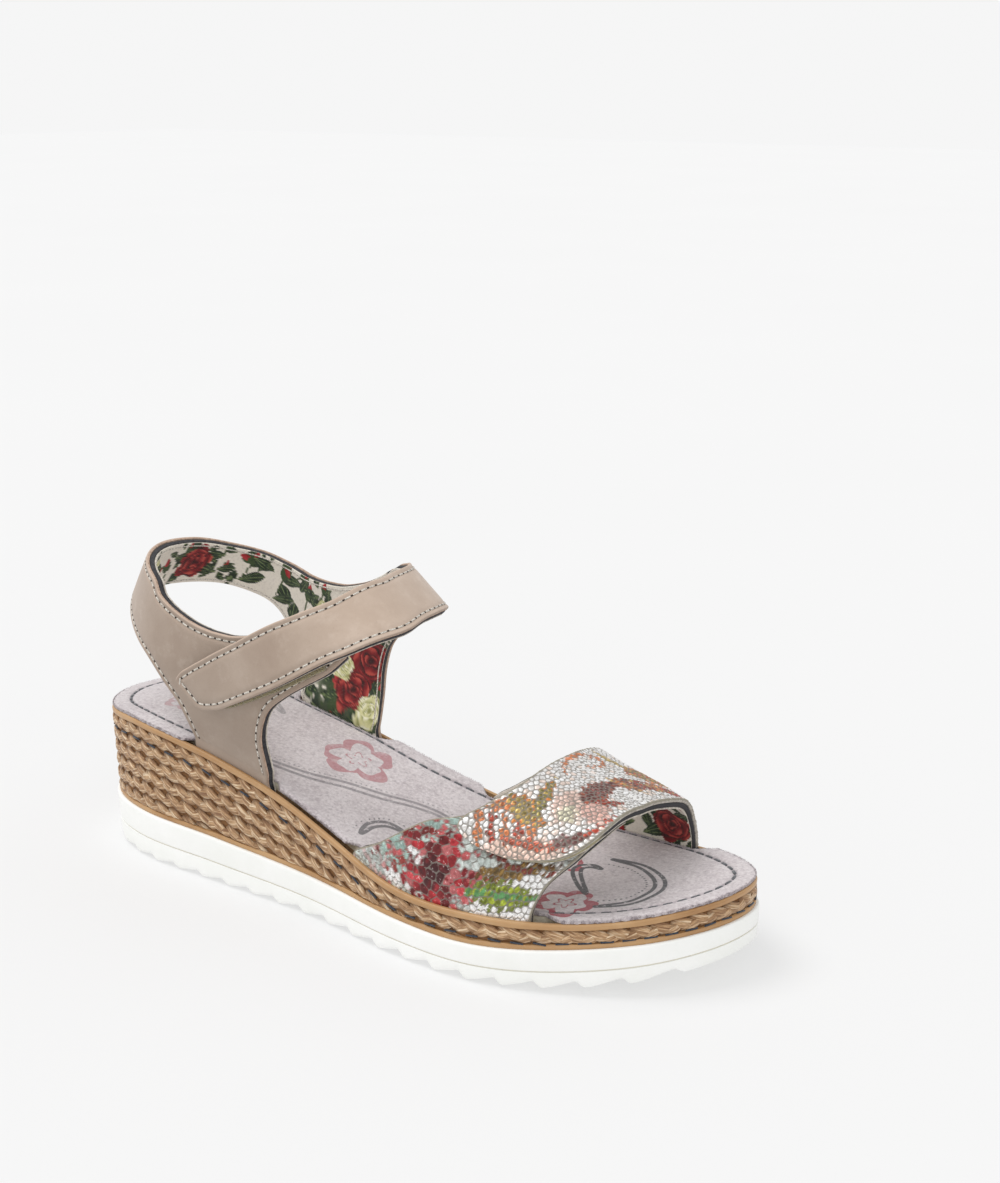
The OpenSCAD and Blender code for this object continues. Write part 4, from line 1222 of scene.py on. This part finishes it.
def paint_panel(c, rand):
    """A red flower with teal, rose and white round it, and a green leaf towards the toe."""
    r, ang = polar(c, low_spot(165, -81))
    ray = np.sin(ang * 13 + 0.5 * np.sin(r)) * 0.5 + np.sin(ang * 29 + r * 0.2) * 0.5
    art = Print(c, SILVER * 0.6 + np.array([168, 192, 184.]) * 0.4, low_spot)
    art.wash(smooth(0.1, 0.5, np.sin(c[:, 0] * 0.9 + 2 * np.sin(c[:, 1] * 0.35))), (226, 232, 228), 0.7)
    art.dab(150, -79, (16, 9), (150, 182, 172), 0.8, -0.3, (-0.2, 0.5))
    rosy = np.sin(c[:, 0] * 0.5 + c[:, 1] * 0.8) * (c[:, 0] < 152)
    art.wash(smooth(0.3, 0.8, rosy), (206, 160, 160), 0.6)
    art.dab(167, -60, (13, 7), (156, 184, 176), 0.8, 0.3, (-0.1, 0.4))
    art.wash(smooth(0.1, 0.5, ray) * smooth(30, 14, r), (188, 78, 80), 0.9)
    art.dab(197, -72, (12, 8), WHITE, 1.0, 0.2, (0, 0.2))
    art.dab(191, -88, (15, 4), WHITE, edge=(0, 0.2))
    rim = 12.8 * (1 + 0.24 * np.cos(5 * ang + 0.6) + 0.06 * ray)
    fold = np.sin(ang * 5 + 0.6 + 0.25 * r) * 0.5 + 0.25 * ray
    red = np.array([186, 42, 50.]) * (0.80 + 0.42 * fold)[:, None]
    red = tint(red, smooth(0.25, 0.6, fold), (206, 84, 90), 0.7)
    red = tint(red, smooth(5.5, 3.5, r), (70, 22, 26))
    red = tint(red, (rand > 0.86) * 1.0, (96, 30, 32), 0.8)
    red = tint(red, (rand < 0.14) * (r > 5), (216, 132, 132), 0.8)
    inside = smooth(0.0, 1.2, rim - r)[:, None]
    art.col = art.col * (1 - inside) + red * inside
    art.wash(smooth(0.0, 0.3, blob(c, low_spot(151.5, -88), (7, 3))) * (rand > 0.3), WHITE)
    art.dab(158, -78, (4.4, 3.0), (236, 240, 238), edge=(0.35, 0.6))
    art.stroke(1.3, (196, 96, 98), (178, -88), (178, -80), (183, -74), (190, -71))
    art.leaf(188, -80.5, 12, 4.4, 0.03, (162, 178, 56), (96, 150, 92), (118, 128, 60))
    art.leaf(191, -67, 13, 2.4, 0.2, (150, 118, 62), None, (112, 76, 44))
    art.stroke(0.8, (122, 58, 48), (181, -60), (188, -64), (196, -66), (204, -64))
    art.stroke(1.0, (122, 44, 40), (141, -86), (148, -77), (157, -70), (166, -66))
    art.stroke(0.8, (150, 62, 54), (146, -88), (152, -83), (155, -76))
    return art.col


def paint_strap(c, rand):
    """Ferns, leaves and tendrils in gold, rust and orange on white, from the tip inwards."""
    art = Print(c, WHITE, spot)
    art.wash((rand > 0.88) * 1.0, (222, 206, 196))
    art.dab(192, -57, (13, 5), (232, 196, 178), 0.85, 0.22, (0, 0.35))
    for k in range(5):  # fern on the tip
        art.leaf(178.5 + 3.7 * k, -54.5 + 1.7 * k, 5.2 - 0.5 * (k % 2), 1.15, -1.05, (ORANGE, RUST)[k % 2])
    art.leaf(195, -53, 10, 1.3, 0.12, (206, 110, 84))
    art.leaf(188.8, -40, 7.6, 3.4, -0.3, GOLD, (126, 112, 58), COPPER)
    art.leaf(190.5, -28.5, 9, 2.0, 1.75, OLIVE, GOLD, COPPER)
    art.leaf(181.5, -42, 4.6, 1.5, 0.5, ORANGE, GOLD)
    art.dab(198, -28, (5.4, 8), (232, 198, 184), 0.9, 0.1)
    art.dab(199, -33, (3.2, 4), (212, 214, 184), 0.8, 0.1, (0, 0.4))
    art.dab(205, -24, (4.6, 6.5), (226, 176, 162), 0.85, 0.2)
    art.leaf(200.5, -8, 11, 3.6, 1.62, (138, 80, 72), (98, 50, 44), (160, 88, 66))
    art.leaf(203.5, 6, 9, 3.2, 1.2, (126, 66, 58), (88, 44, 40), MAUVE)
    art.leaf(206, -14, 5, 1.6, 0.9, RUST, None, MAUVE)
    art.stroke(0.8, ORANGE, (190, -10), (186, -4), (184.5, 4), (188, 10), (192, 7), (190.5, 1))
    art.stroke(1.6, GOLD, (184, 14), (190, 16), (197, 22), (203, 32))
    for k in range(4):
        art.leaf(203 + 2.2 * k, 3 + 8 * k, 6.5, 2.2, 0.5 + 0.3 * k, (ORANGE, RUST)[k % 2], GOLD)
    art.stroke(0.9, RUST, (199, -49), (203, -46), (208, -36), (210, -22))
    art.dab(203.5, -45.5, (5.4, 2.0), (104, 66, 62), 0.9, 0.55)
    art.leaf(201, 32, 14, 5.4, 1.3, (190, 156, 88), RUST, ORANGE)
    for k in range(5):  # towards the inner side of the foot
        tone = ((210, 112, 74), GOLD, (150, 74, 64))[k % 3]
        art.leaf(166 + 9 * k, 60 + 5 * (k % 2), 10, 4.2, 0.9 + 0.5 * k, tone, (118, 60, 46), COPPER)
        art.dab(160 + 11 * k, 79, (5.5, 4.5), ((230, 190, 174), (206, 120, 84))[k % 2], 0.9)
    return art.col


def mosaic_paint(cells, painter, height, whole, measure, warp=None):
    """Relief and paint functions of a piece. whole is how far one cell has one colour, and warp
    is the centre, reach and amount of a stretch that makes the cells there larger."""
    def flat(q):
        return np.stack([q[..., 0], measure(q[..., 0], q[..., 1])], -1).reshape(-1, 2)

    def bend(p):
        if warp is None:
            return p, np.ones(len(p))
        centre, reach, amount = warp
        v = p - centre
        f = 1 - amount * np.exp(-(np.hypot(v[:, 0], v[:, 1]) / reach) ** 2)
        return centre + v * f[:, None], f

    def relief(q, e):
        w, f = bend(flat(q))
        _, border, _ = cells.find(w)
        return (height * smooth(0.05, 0.5, border / f)).reshape(q.shape[:-1])

    def paint(q, e):
        p = flat(q)
        w, f = bend(p)
        centre, border, rand = cells.find(w)
        print_at = p + whole * (centre - w) / f[:, None]
        print_at = print_at + 0.5 * np.stack([np.sin(1.9 * p[:, 1] + p[:, 0]),
                                              np.sin(2.1 * p[:, 0] - p[:, 1])], -1)
        col = painter(print_at, rand) * (0.92 + 0.2 * rand[:, None])
        cut = e.ravel() < 0.5  # the leather's cut edge has no cells
        col = tint(col, cut * 1.0, (190, 182, 158))
        border = np.where(cut, 0.16, border / f)
        shape = q.shape[:-1]
        return {"paint": linear(np.clip(col, 0, 252)).reshape(shape + (3,)), "edge": border.reshape(shape)}
    return relief, paint


ROSE_TONES = {"R": ((54, 8, 12), (124, 20, 27), (192, 76, 66)),
              "Y": ((150, 152, 92), (222, 220, 164), (248, 246, 222))}


def rose(p, col, centre, radius, turn, kind):
    """Paints one full-blown rose: rings of scalloped petals, dark in the folds."""
    r, a = polar(p, centre, turn)
    r = r / radius
    edge = 1 + 0.10 * np.cos(5 * a) + 0.05 * np.cos(3 * a + 1)
    dark, mid, light = ROSE_TONES[kind]
    ring = (r + 0.07 * np.sin(2 * a + 9 * r)) * 3.6
    k = np.floor(ring)
    scallop = np.abs(np.sin((a + k * 1.1) * (1.5 + 0.5 * k)))
    t = np.clip(ring - k + 0.25 * scallop - 0.1, 0, 1)
    tone = tint(np.tile(np.array(dark, float), (len(p), 1)), smooth(0.05, 0.5, t), mid)
    tone = tint(tone, smooth(0.55, 1.0, t * (0.6 + 0.5 * scallop)), light)
    return filled(col, edge > r, tint(tone, smooth(0.28, 0.05, r), dark))


def greenery(p, col, centre, radius, count, turn):
    """Dark leaves with pale veins round a centre."""
    for k in range(count):
        a = turn + k * 6.283 / count + 0.35 * math.sin(3 * k + turn)
        c = np.array(centre) + radius * np.array([math.cos(a), math.sin(a)])
        inside, u, w = leaf(p, c, radius * 0.62, radius * 0.30, a + 0.3 * math.cos(5 * k))
        vein = (np.abs(w) < 0.07) | (np.abs(np.abs(w) - 0.5 * (1 - u)) < 0.04)
        green = filled(np.array([36, 54, 34.]) + 12 * np.sin(6 * u)[:, None], vein, (112, 128, 84))
        col = filled(col, inside > 0, green)
    return col


def bud(p, col, centre, size, turn):
    """A closed red bud in its green cup, on a stem."""
    foot = np.array(centre) - 1.1 * size * np.array([math.cos(turn), math.sin(turn)])
    stem, _, _ = leaf(p, foot, size * 1.5, 0.35, turn)
    inside, u, w = leaf(p, centre, size, size * 0.48, turn)
    cup = (u < -0.1) | (np.abs(w) > 0.55)
    petals = filled(np.array([168, 36, 42.]) + 40 * w[:, None], cup, (58, 78, 42))
    return filled(filled(col, stem > 0, (66, 84, 46)), inside > 0, petals)


COTTON = np.array([236, 229, 216.])


def floral(p, groups, leaf_cover_and_shade=0.0):
    """Roses with leaves and buds on off-white cotton; groups are (x, y, size, kind), where kind
    is a red (R) or yellow (Y) rose, greenery (G) or a bud (B)."""
    mottle = 0.5 + 0.5 * np.sin(1.1 * p[:, 0] + 2 * np.sin(0.7 * p[:, 1])) * np.sin(1.3 * p[:, 1] + p[:, 0])
    # darker green ground where the lining is thick with leaves; it also carries painted shade
    col = tint(np.tile(COTTON, (len(p), 1)), leaf_cover_and_shade * smooth(0.15, 0.4, mottle), (52, 66, 42), 0.92)
    for x, y, size, kind in groups:
        if kind in "RY":
            col = greenery(p, col, (x, y), size * 1.15, 5, x * 0.7)
        if kind == "G":
            col = greenery(p, col, (x, y), size, 4, x * 0.9)
            col = bud(p, col, (x + size * 0.7, y + size * 0.5), size * 0.6, 1.2)
        if kind == "B":
            col = bud(p, col, (x, y), size, x)
    for x, y, size, kind in groups:
        if kind in "RY":
            col = rose(p, col, (x, y), size, x, kind)
    return linear(np.clip(col, 0, 255))


LINING_GROUPS = [
    (15, 94.5, 6.2, "R"), (2, 95, 3.8, "B"), (7, 99, 4.2, "G"), (24, 98, 3.8, "G"), (25, 90, 3.6, "G"),
    (-4, 91, 4, "G"), (33, 91, 5.2, "G"), (34, 94, 3.4, "B"), (44, 86, 7.2, "G"), (49, 90, 3.4, "B"),
    (41, 93, 3.4, "G"), (54, 80, 6.2, "G"), (57, 89, 3.2, "B"), (63, 84, 4.4, "G"), (86, 63, 8.6, "R"),
    (80, 51.5, 7.2, "R"), (74, 59, 4.8, "Y"), (88, 45.5, 5.2, "Y"), (74, 44.5, 4.6, "B"),
    (92, 53, 4.6, "B"), (93, 73, 6.4, "G"), (99, 79, 5, "R"), (72, 69, 6.4, "G"), (81, 75, 5.6, "G"),
    (66, 76, 5.4, "Y"), (104, 88, 5, "G"), (96, 86, 4, "B"), (68, 50, 5.4, "G"), (84, 39, 5.4, "G"),
    (90, 82, 4.6, "Y"), (82, 57, 5.6, "G"), (93, 62, 5.2, "G"), (76, 66, 5, "G"), (87, 51, 5, "G"),
    (79, 44, 4.6, "G"), (92, 46, 4.4, "G"), (-12, 94, 5.4, "Y"), (-21, 90, 4.6, "G"), (-30, 92, 5.8, "R"),
    (-38, 86, 4.8, "G"), (-47, 82, 6, "G"), (-54, 80, 4.4, "B"), (-60, 74, 7, "R"), (-66, 55, 6.5, "Y"),
    (-70, 66, 5.6, "G"), (-80, 64, 7.5, "R"), (-74, 46, 6, "G"), (-84, 46, 5.4, "R"), (-88, 54, 4, "B"),
    (-88, 76, 5.6, "G"), (-98, 82, 6.5, "R"), (-110, 86, 5.4, "G")]


def quarter_lining_paint(q, e):
    p = np.stack([q[..., 0], q[..., 1]], -1).reshape(-1, 2)
    leg_leaves_and_shade = smooth(62, 68, p[:, 0]) * smooth(78, 70, p[:, 1])  # the inner arm's leg is thick with leaves; its darker green ground also stands in for the shade on this part of the lining
    return {"paint": floral(p, LINING_GROUPS, leg_leaves_and_shade).reshape(q.shape[:-1] + (3,))}


def strap_groups():
    groups = []
    for k in range(7):
        for j in range(2):
            x, y = spot(166 + 26 * j + 6 * (k % 2), 72 - 24 * k)
            groups += [(x, y, 7.8 - 0.8 * ((k + j) % 3), "RYRGRYG"[(2 * k + 3 * j) % 7]),
                       (x + 12, y + 9, 6.2, "GBG"[(k + j) % 3])]
    return groups + [(*spot(203, 80), 7.5, "R"), (*spot(211, 84), 4.5, "G")]


def strap_lining_paint(q, e):
    p = np.stack([q[..., 0], girth(q[..., 1])], -1).reshape(-1, 2)
    return {"paint": floral(p, strap_groups()).reshape(q.shape[:-1] + (3,))}


def edge_field(q, e):
    return {"edge": e}


# ---------------------------------------------------------------- topstitching
STITCH_PITCH, STITCH_LENGTH, STITCH_WIDTH, STITCH_DEPTH = 3.0, 2.15, 0.62, 0.16
OVERLOCK_PITCH, OVERLOCK_LENGTH, OVERLOCK_WIDTH = 1.7, 1.9, 0.5
LINE_STEPS = 12


def edge_lines(stations):
    path = through(stations, LINE_STEPS)
    return path[:, :2], path[:, 2:]


def stitch_line(place, q, depth, pitch, length, width):
    """Thread dashes along one line of form coordinates, and where the needle holes go."""
    p, n, _, _ = place(q, depth)
    mid, tan, (normal,) = resample(p, pitch, (n,))
    normal = unit(normal)
    threads = capsules(mid, tan, normal, length, width, width * 0.75)
    return threads, (mid + tan * pitch * 0.5 - normal * 0.05, tan, normal)


def stitches(name, place, lines, body, blend=None):
    """Topstitching: thread dashes with a needle hole at each end."""
    pieces = [stitch_line(place, q, STITCH_DEPTH, STITCH_PITCH, STITCH_LENGTH, STITCH_WIDTH)
              for q in lines if len(q) > 3]
    threads = [t for t, _ in pieces]
    # dark bars at the needle holes: painted shade inside the holes
    holes = [capsules(*h, 0.85, 0.62, 0.30, 5) for _, h in pieces]
    verts, faces = joined(threads + holes)
    split = sum(len(v) for v, _ in threads)
    index = np.concatenate([(f[:, 0] >= split).astype(int) for f in faces])
    build(name, verts, faces, [M_LIGHT, M_HOLE_SHADE], body, (), index=index, blend=blend)


def overlock(name, place, lines, body, blend=None):
    """Short light threads close together along the lining's edge."""
    depth = UPPER_T + 0.02
    verts, faces = joined([stitch_line(place, q, depth, OVERLOCK_PITCH, OVERLOCK_LENGTH, OVERLOCK_WIDTH)[0]
                           for q in lines if len(q) > 3])
    build(name, verts, faces, M_LIGHT, body, (), blend=blend)


def end_line(path, station, a, b):
    """Line across a strap at one station of its path, from share a to share b."""
    row = path[station]
    return mix(row[None, :2], row[None, 2:], np.linspace(a, b, 24)[:, None])


def grooves_at(place, lines):
    """Dense points on the surface along lines of form coordinates."""
    return [resample(place(q, 0)[0], 0.5)[0] for q in lines]


# ---------------------------------------------------------------- uppers
LEATHER = (0.0, LEATHER_T)
FOAM = (LEATHER_T + GAP, LEATHER_T + GAP + FOAM_T)
LINING = (UPPER_T - LINING_T, UPPER_T)


def padding(name, stations, place, steps, spacing, round_r, body=ROOT, mat=M_FOAM, **rest):
    layer(name + "_padding", stations, place, FOAM, mat, body, steps, spacing, [name + "_foam"],
          "black_foam", round_r, **rest)


def lining(name, stations, place, steps, spacing, body=ROOT, paint=strap_lining_paint, **rest):
    layer(name + "_rose_lining", stations, place, LINING, [M_COTTON, M_COTTON_EDGE], body, steps, spacing,
          [name + "_lining"], "rose_lining", 0.25, paint=paint, lining=True, **rest)


def runs(q, ok):
    """Splits a line into its runs where ok holds."""
    out, cur = [], []
    for point, good in zip(q, ok):
        if good:
            cur.append(point)
        elif cur:
            out.append(np.array(cur))
            cur = []
    if cur:
        out.append(np.array(cur))
    return [r for r in out if len(r) > 6]


def quarter_seams(low, high, d, clear):
    """Lines a distance d inside the quarter's edges; the lower one stops clear of the rim."""
    low, high = offset_line(on_quarter, low, d, 1), offset_line(on_quarter, high, d, -1)
    return runs(low, low[:, 1] > rim_z(np.abs(low[:, 0])) + clear) + [high]


# Quarter
STITCH_IN, OVERLOCK_IN = 1.8, 1.2
edges = edge_lines(QUARTER)
quarter_lines = quarter_seams(*edges, STITCH_IN, 2.5)
quarter_lines.append(end_line(through(QUARTER, LINE_STEPS), 6, 0.2, 0.8))
layer("quarter_nubuck", QUARTER, on_quarter, LEATHER, [M_NUBUCK, M_NUBUCK_EDGE], ROOT, 12, 0.9,
      ["quarter_leather"], "nubuck", 0.5, grooves_at(on_quarter, quarter_lines), paint=edge_field)
padding("quarter", QUARTER, on_quarter, 8, 2.0, 0.45)
lining("quarter", QUARTER, on_quarter, 16, 0.55, paint=quarter_lining_paint)
stitches("quarter_topstitch", on_quarter, quarter_lines, ROOT)
overlock("quarter_overlock", on_quarter, quarter_seams(*edges, OVERLOCK_IN, 2.0), ROOT)


def frame_point(p):
    return tuple((np.asarray(p, float) - [ORIGIN_X, 0, 0]) / 1000)


def blend_planes(base, direction, start, end):
    """Planes between which a strap passes from the sole's body to its own."""
    step = np.asarray(direction, float) / np.linalg.norm(direction)
    return frame_point(base + start * step), frame_point(base + end * step)


# Each zone starts near its strap's seam. The ankle strap's planes are turned from square by 20
# degrees, so that its tip, which points back round the foot, stays beyond them.
ANKLE_BLEND = blend_planes([103, 29.6, 91.6], [0.607, -0.705, 0.367], 0.6, 5.8)
VAMP_BLEND = blend_planes([175, 44, 21], [0.06, -0.45, 0.89], 5.5, 20)

ON_ANKLE_STRAP = dict(body=ANKLE, blend=ANKLE_BLEND)
ON_VAMP_STRAP = dict(body=VAMP, blend=VAMP_BLEND)

# Ankle strap
rear, front = edge_lines(ANKLE_STRAP)
around = np.vstack([rear, front[::-1]])
ankle_lines = [offset_line(on_ankle, around, 1.9, 1),
               end_line(through(ANKLE_STRAP, LINE_STEPS), 4, 0.18, 0.82)]
layer("ankle_strap_nubuck", ANKLE_STRAP, on_ankle, LEATHER, [M_NUBUCK, M_NUBUCK_EDGE], steps=14,
      spacing=0.8, nodes=["ankle_strap_leather"], slot="nubuck", round_r=0.5,
      groove=grooves_at(on_ankle, ankle_lines), paint=edge_field, **ON_ANKLE_STRAP)
padding("ankle_strap", ANKLE_STRAP, on_ankle, 10, 1.6, 0.45, **ON_ANKLE_STRAP)
lining("ankle_strap", ANKLE_STRAP, on_ankle, 16, 0.6, **ON_ANKLE_STRAP)
stitches("ankle_strap_topstitch", on_ankle, ankle_lines, **ON_ANKLE_STRAP)
overlock("ankle_strap_overlock", on_ankle, [offset_line(on_ankle, around, OVERLOCK_IN, 1)], **ON_ANKLE_STRAP)

PANEL_CELLS, STRAP_CELLS = Cells(2.0, 5), Cells(1.66, 8)
FLOWER_WARP = (low_spot(166, -80), 25, 0.42)

# Vamp panel
relief, paint = mosaic_paint(PANEL_CELLS, paint_panel, 0.16, 0.9, low_girth, FLOWER_WARP)
layer("vamp_panel_mosaic", VAMP_PANEL, on_panel, LEATHER, [M_MOSAIC, M_MOSAIC_EDGE], ROOT, 16, 0.42,
      ["vamp_panel_leather"], "mosaic_leather", 0.4, relief=relief, paint=paint)
padding("vamp_panel", VAMP_PANEL, on_panel, 8, 2.0, 0.4)
lining("vamp_panel", VAMP_PANEL, on_panel, 12, 0.7)

# Vamp strap
relief, paint = mosaic_paint(STRAP_CELLS, paint_strap, 0.2, 0.5, lambda x, a: girth(a))
layer("vamp_strap_mosaic", VAMP_STRAP, on_vamp, LEATHER, [M_MOSAIC, M_MOSAIC_EDGE], steps=26,
      spacing=0.36, nodes=["vamp_strap_leather"], slot="mosaic_leather", round_r=0.45, relief=relief,
      paint=paint, **ON_VAMP_STRAP)
padding("vamp_strap", VAMP_STRAP, on_vamp, 10, 2.0, 0.25, mat=M_FELT,
        paint=lambda q, e: {"tip": smooth(-33, -40, q[..., 1])}, **ON_VAMP_STRAP)
lining("vamp_strap", VAMP_STRAP, on_vamp, 14, 0.6, **ON_VAMP_STRAP)


# ---------------------------------------------------------------- tapes
TAPES = {"loop": ((-TAPE_T - 0.15, -0.15), M_LOOP),
         "hook": ((UPPER_T + GAP, UPPER_T + GAP + TAPE_T), M_HOOK)}


def tape(upper, kind, stations, place, span, body=ROOT, blend=None):
    """Loop tape outside an upper or hook tape under a strap. span is its part of the strap: from
    and to along the strap, and the shares left free at the rear and the front."""
    first, last, rear, front = span
    path = through(stations, 10)
    path = path[int(first * (len(path) - 1)):int(last * (len(path) - 1)) + 1]
    p, q = path[:, :2], path[:, 2:]
    path = np.hstack([mix(p, q, rear), mix(q, p, front)])
    depths, mat = TAPES[kind]
    layer(f"{upper}_{kind}_patch", path, place, depths, mat, body, 1, 0.9, [f"{upper}_{kind}_tape"],
          f"{kind}_tape", blend=blend)


tape("ankle", "loop", ANKLE_STRAP, on_panel, (0.50, 0.86, 0.2, -0.05))
tape("ankle", "hook", ANKLE_STRAP, on_ankle, (0.60, 0.86, 0.16, 0.16), **ON_ANKLE_STRAP)
tape("vamp", "loop", VAMP_STRAP, on_panel, (0.62, 0.93, 0.12, 0.06))
tape("vamp", "hook", VAMP_STRAP, on_vamp, (0.66, 0.92, 0.14, 0.14), **ON_VAMP_STRAP)


# ---------------------------------------------------------------- stage, light and camera
def floor():
    me = bpy.data.meshes.new("floor")
    r, z = 6.0, -0.0004  # metres
    me.from_pydata([(-r, -r, z), (r, -r, z), (r, r, z), (-r, r, z)], [], [(0, 1, 2, 3)])
    s = Shader("pale_floor", Roughness=1.0, Specular_IOR_Level=0.0, Emission_Color=(1, 1, 1, 1),
               Emission_Strength=0.46)
    me.materials.append(s.base(s.ramp(s.noise(3, 2), (0.3, (170, 170, 170)), (0.7, (171, 171, 171)))))
    o = bpy.data.objects.new("floor", me)
    bpy.context.scene.collection.objects.link(o)


def sun(name, direction, power, spread):
    light = bpy.data.lights.new(name, "SUN")
    light.energy, light.angle = power, math.radians(spread)
    o = bpy.data.objects.new(name, light)
    o.rotation_mode = "QUATERNION"
    o.rotation_quaternion = Vector(direction).to_track_quat("Z", "Y")
    bpy.context.scene.collection.objects.link(o)


floor()
sun("key", (-0.45, -0.22, 1.0), 1.25, 34)
sun("front", (0.6, -0.85, 0.75), 0.48, 70)
world = bpy.data.worlds.new("studio")
world.use_nodes = True
nodes, links = world.node_tree.nodes, world.node_tree.links
glow = nodes["Background"]
glow.inputs[0].default_value = (1, 1, 1, 1)
seen = nodes.new("ShaderNodeLightPath")
level = nodes.new("ShaderNodeMapRange")
level.inputs["To Min"].default_value, level.inputs["To Max"].default_value = 0.72, 0.92
links.new(seen.outputs["Is Camera Ray"], level.inputs["Value"])
links.new(level.outputs[0], glow.inputs[1])
bpy.context.scene.world = world
bpy.context.scene.view_settings.view_transform = "Standard"

# The camera looks past the sandal's middle, to the right and below the frame's centre
AZIMUTH, ELEVATION, ROLL, YAW, PITCH = [math.radians(v) for v in (38.26, 21.96, -1.04, -2.945, 6.697)]
LENS, SENSOR, CAMERA_AT = 57.97, 36.0, (0.3590, -0.4552, 0.2588)


def turned_pair(a, b, angle):
    """Axes a and b turned by an angle, a towards b."""
    return a * math.cos(angle) + b * math.sin(angle), b * math.cos(angle) - a * math.sin(angle)


forward = -Vector((math.sin(AZIMUTH) * math.cos(ELEVATION), -math.cos(AZIMUTH) * math.cos(ELEVATION),
                   math.sin(ELEVATION)))
right = forward.cross(Vector((0, 0, 1))).normalized()
right, up = turned_pair(right, right.cross(forward), ROLL)
right, forward = turned_pair(right, forward, YAW)
forward, up = turned_pair(forward, up, PITCH)
camera = bpy.data.objects.new("camera", bpy.data.cameras.new("camera"))
camera.data.lens, camera.data.sensor_width = LENS, SENSOR
camera.data.clip_start, camera.data.clip_end = 0.05, 50.0
turn = Matrix((right, up, -forward)).transposed().to_4x4()
camera.matrix_world = Matrix.Translation(CAMERA_AT) @ turn
bpy.context.scene.collection.objects.link(camera)
bpy.context.scene.camera = camera
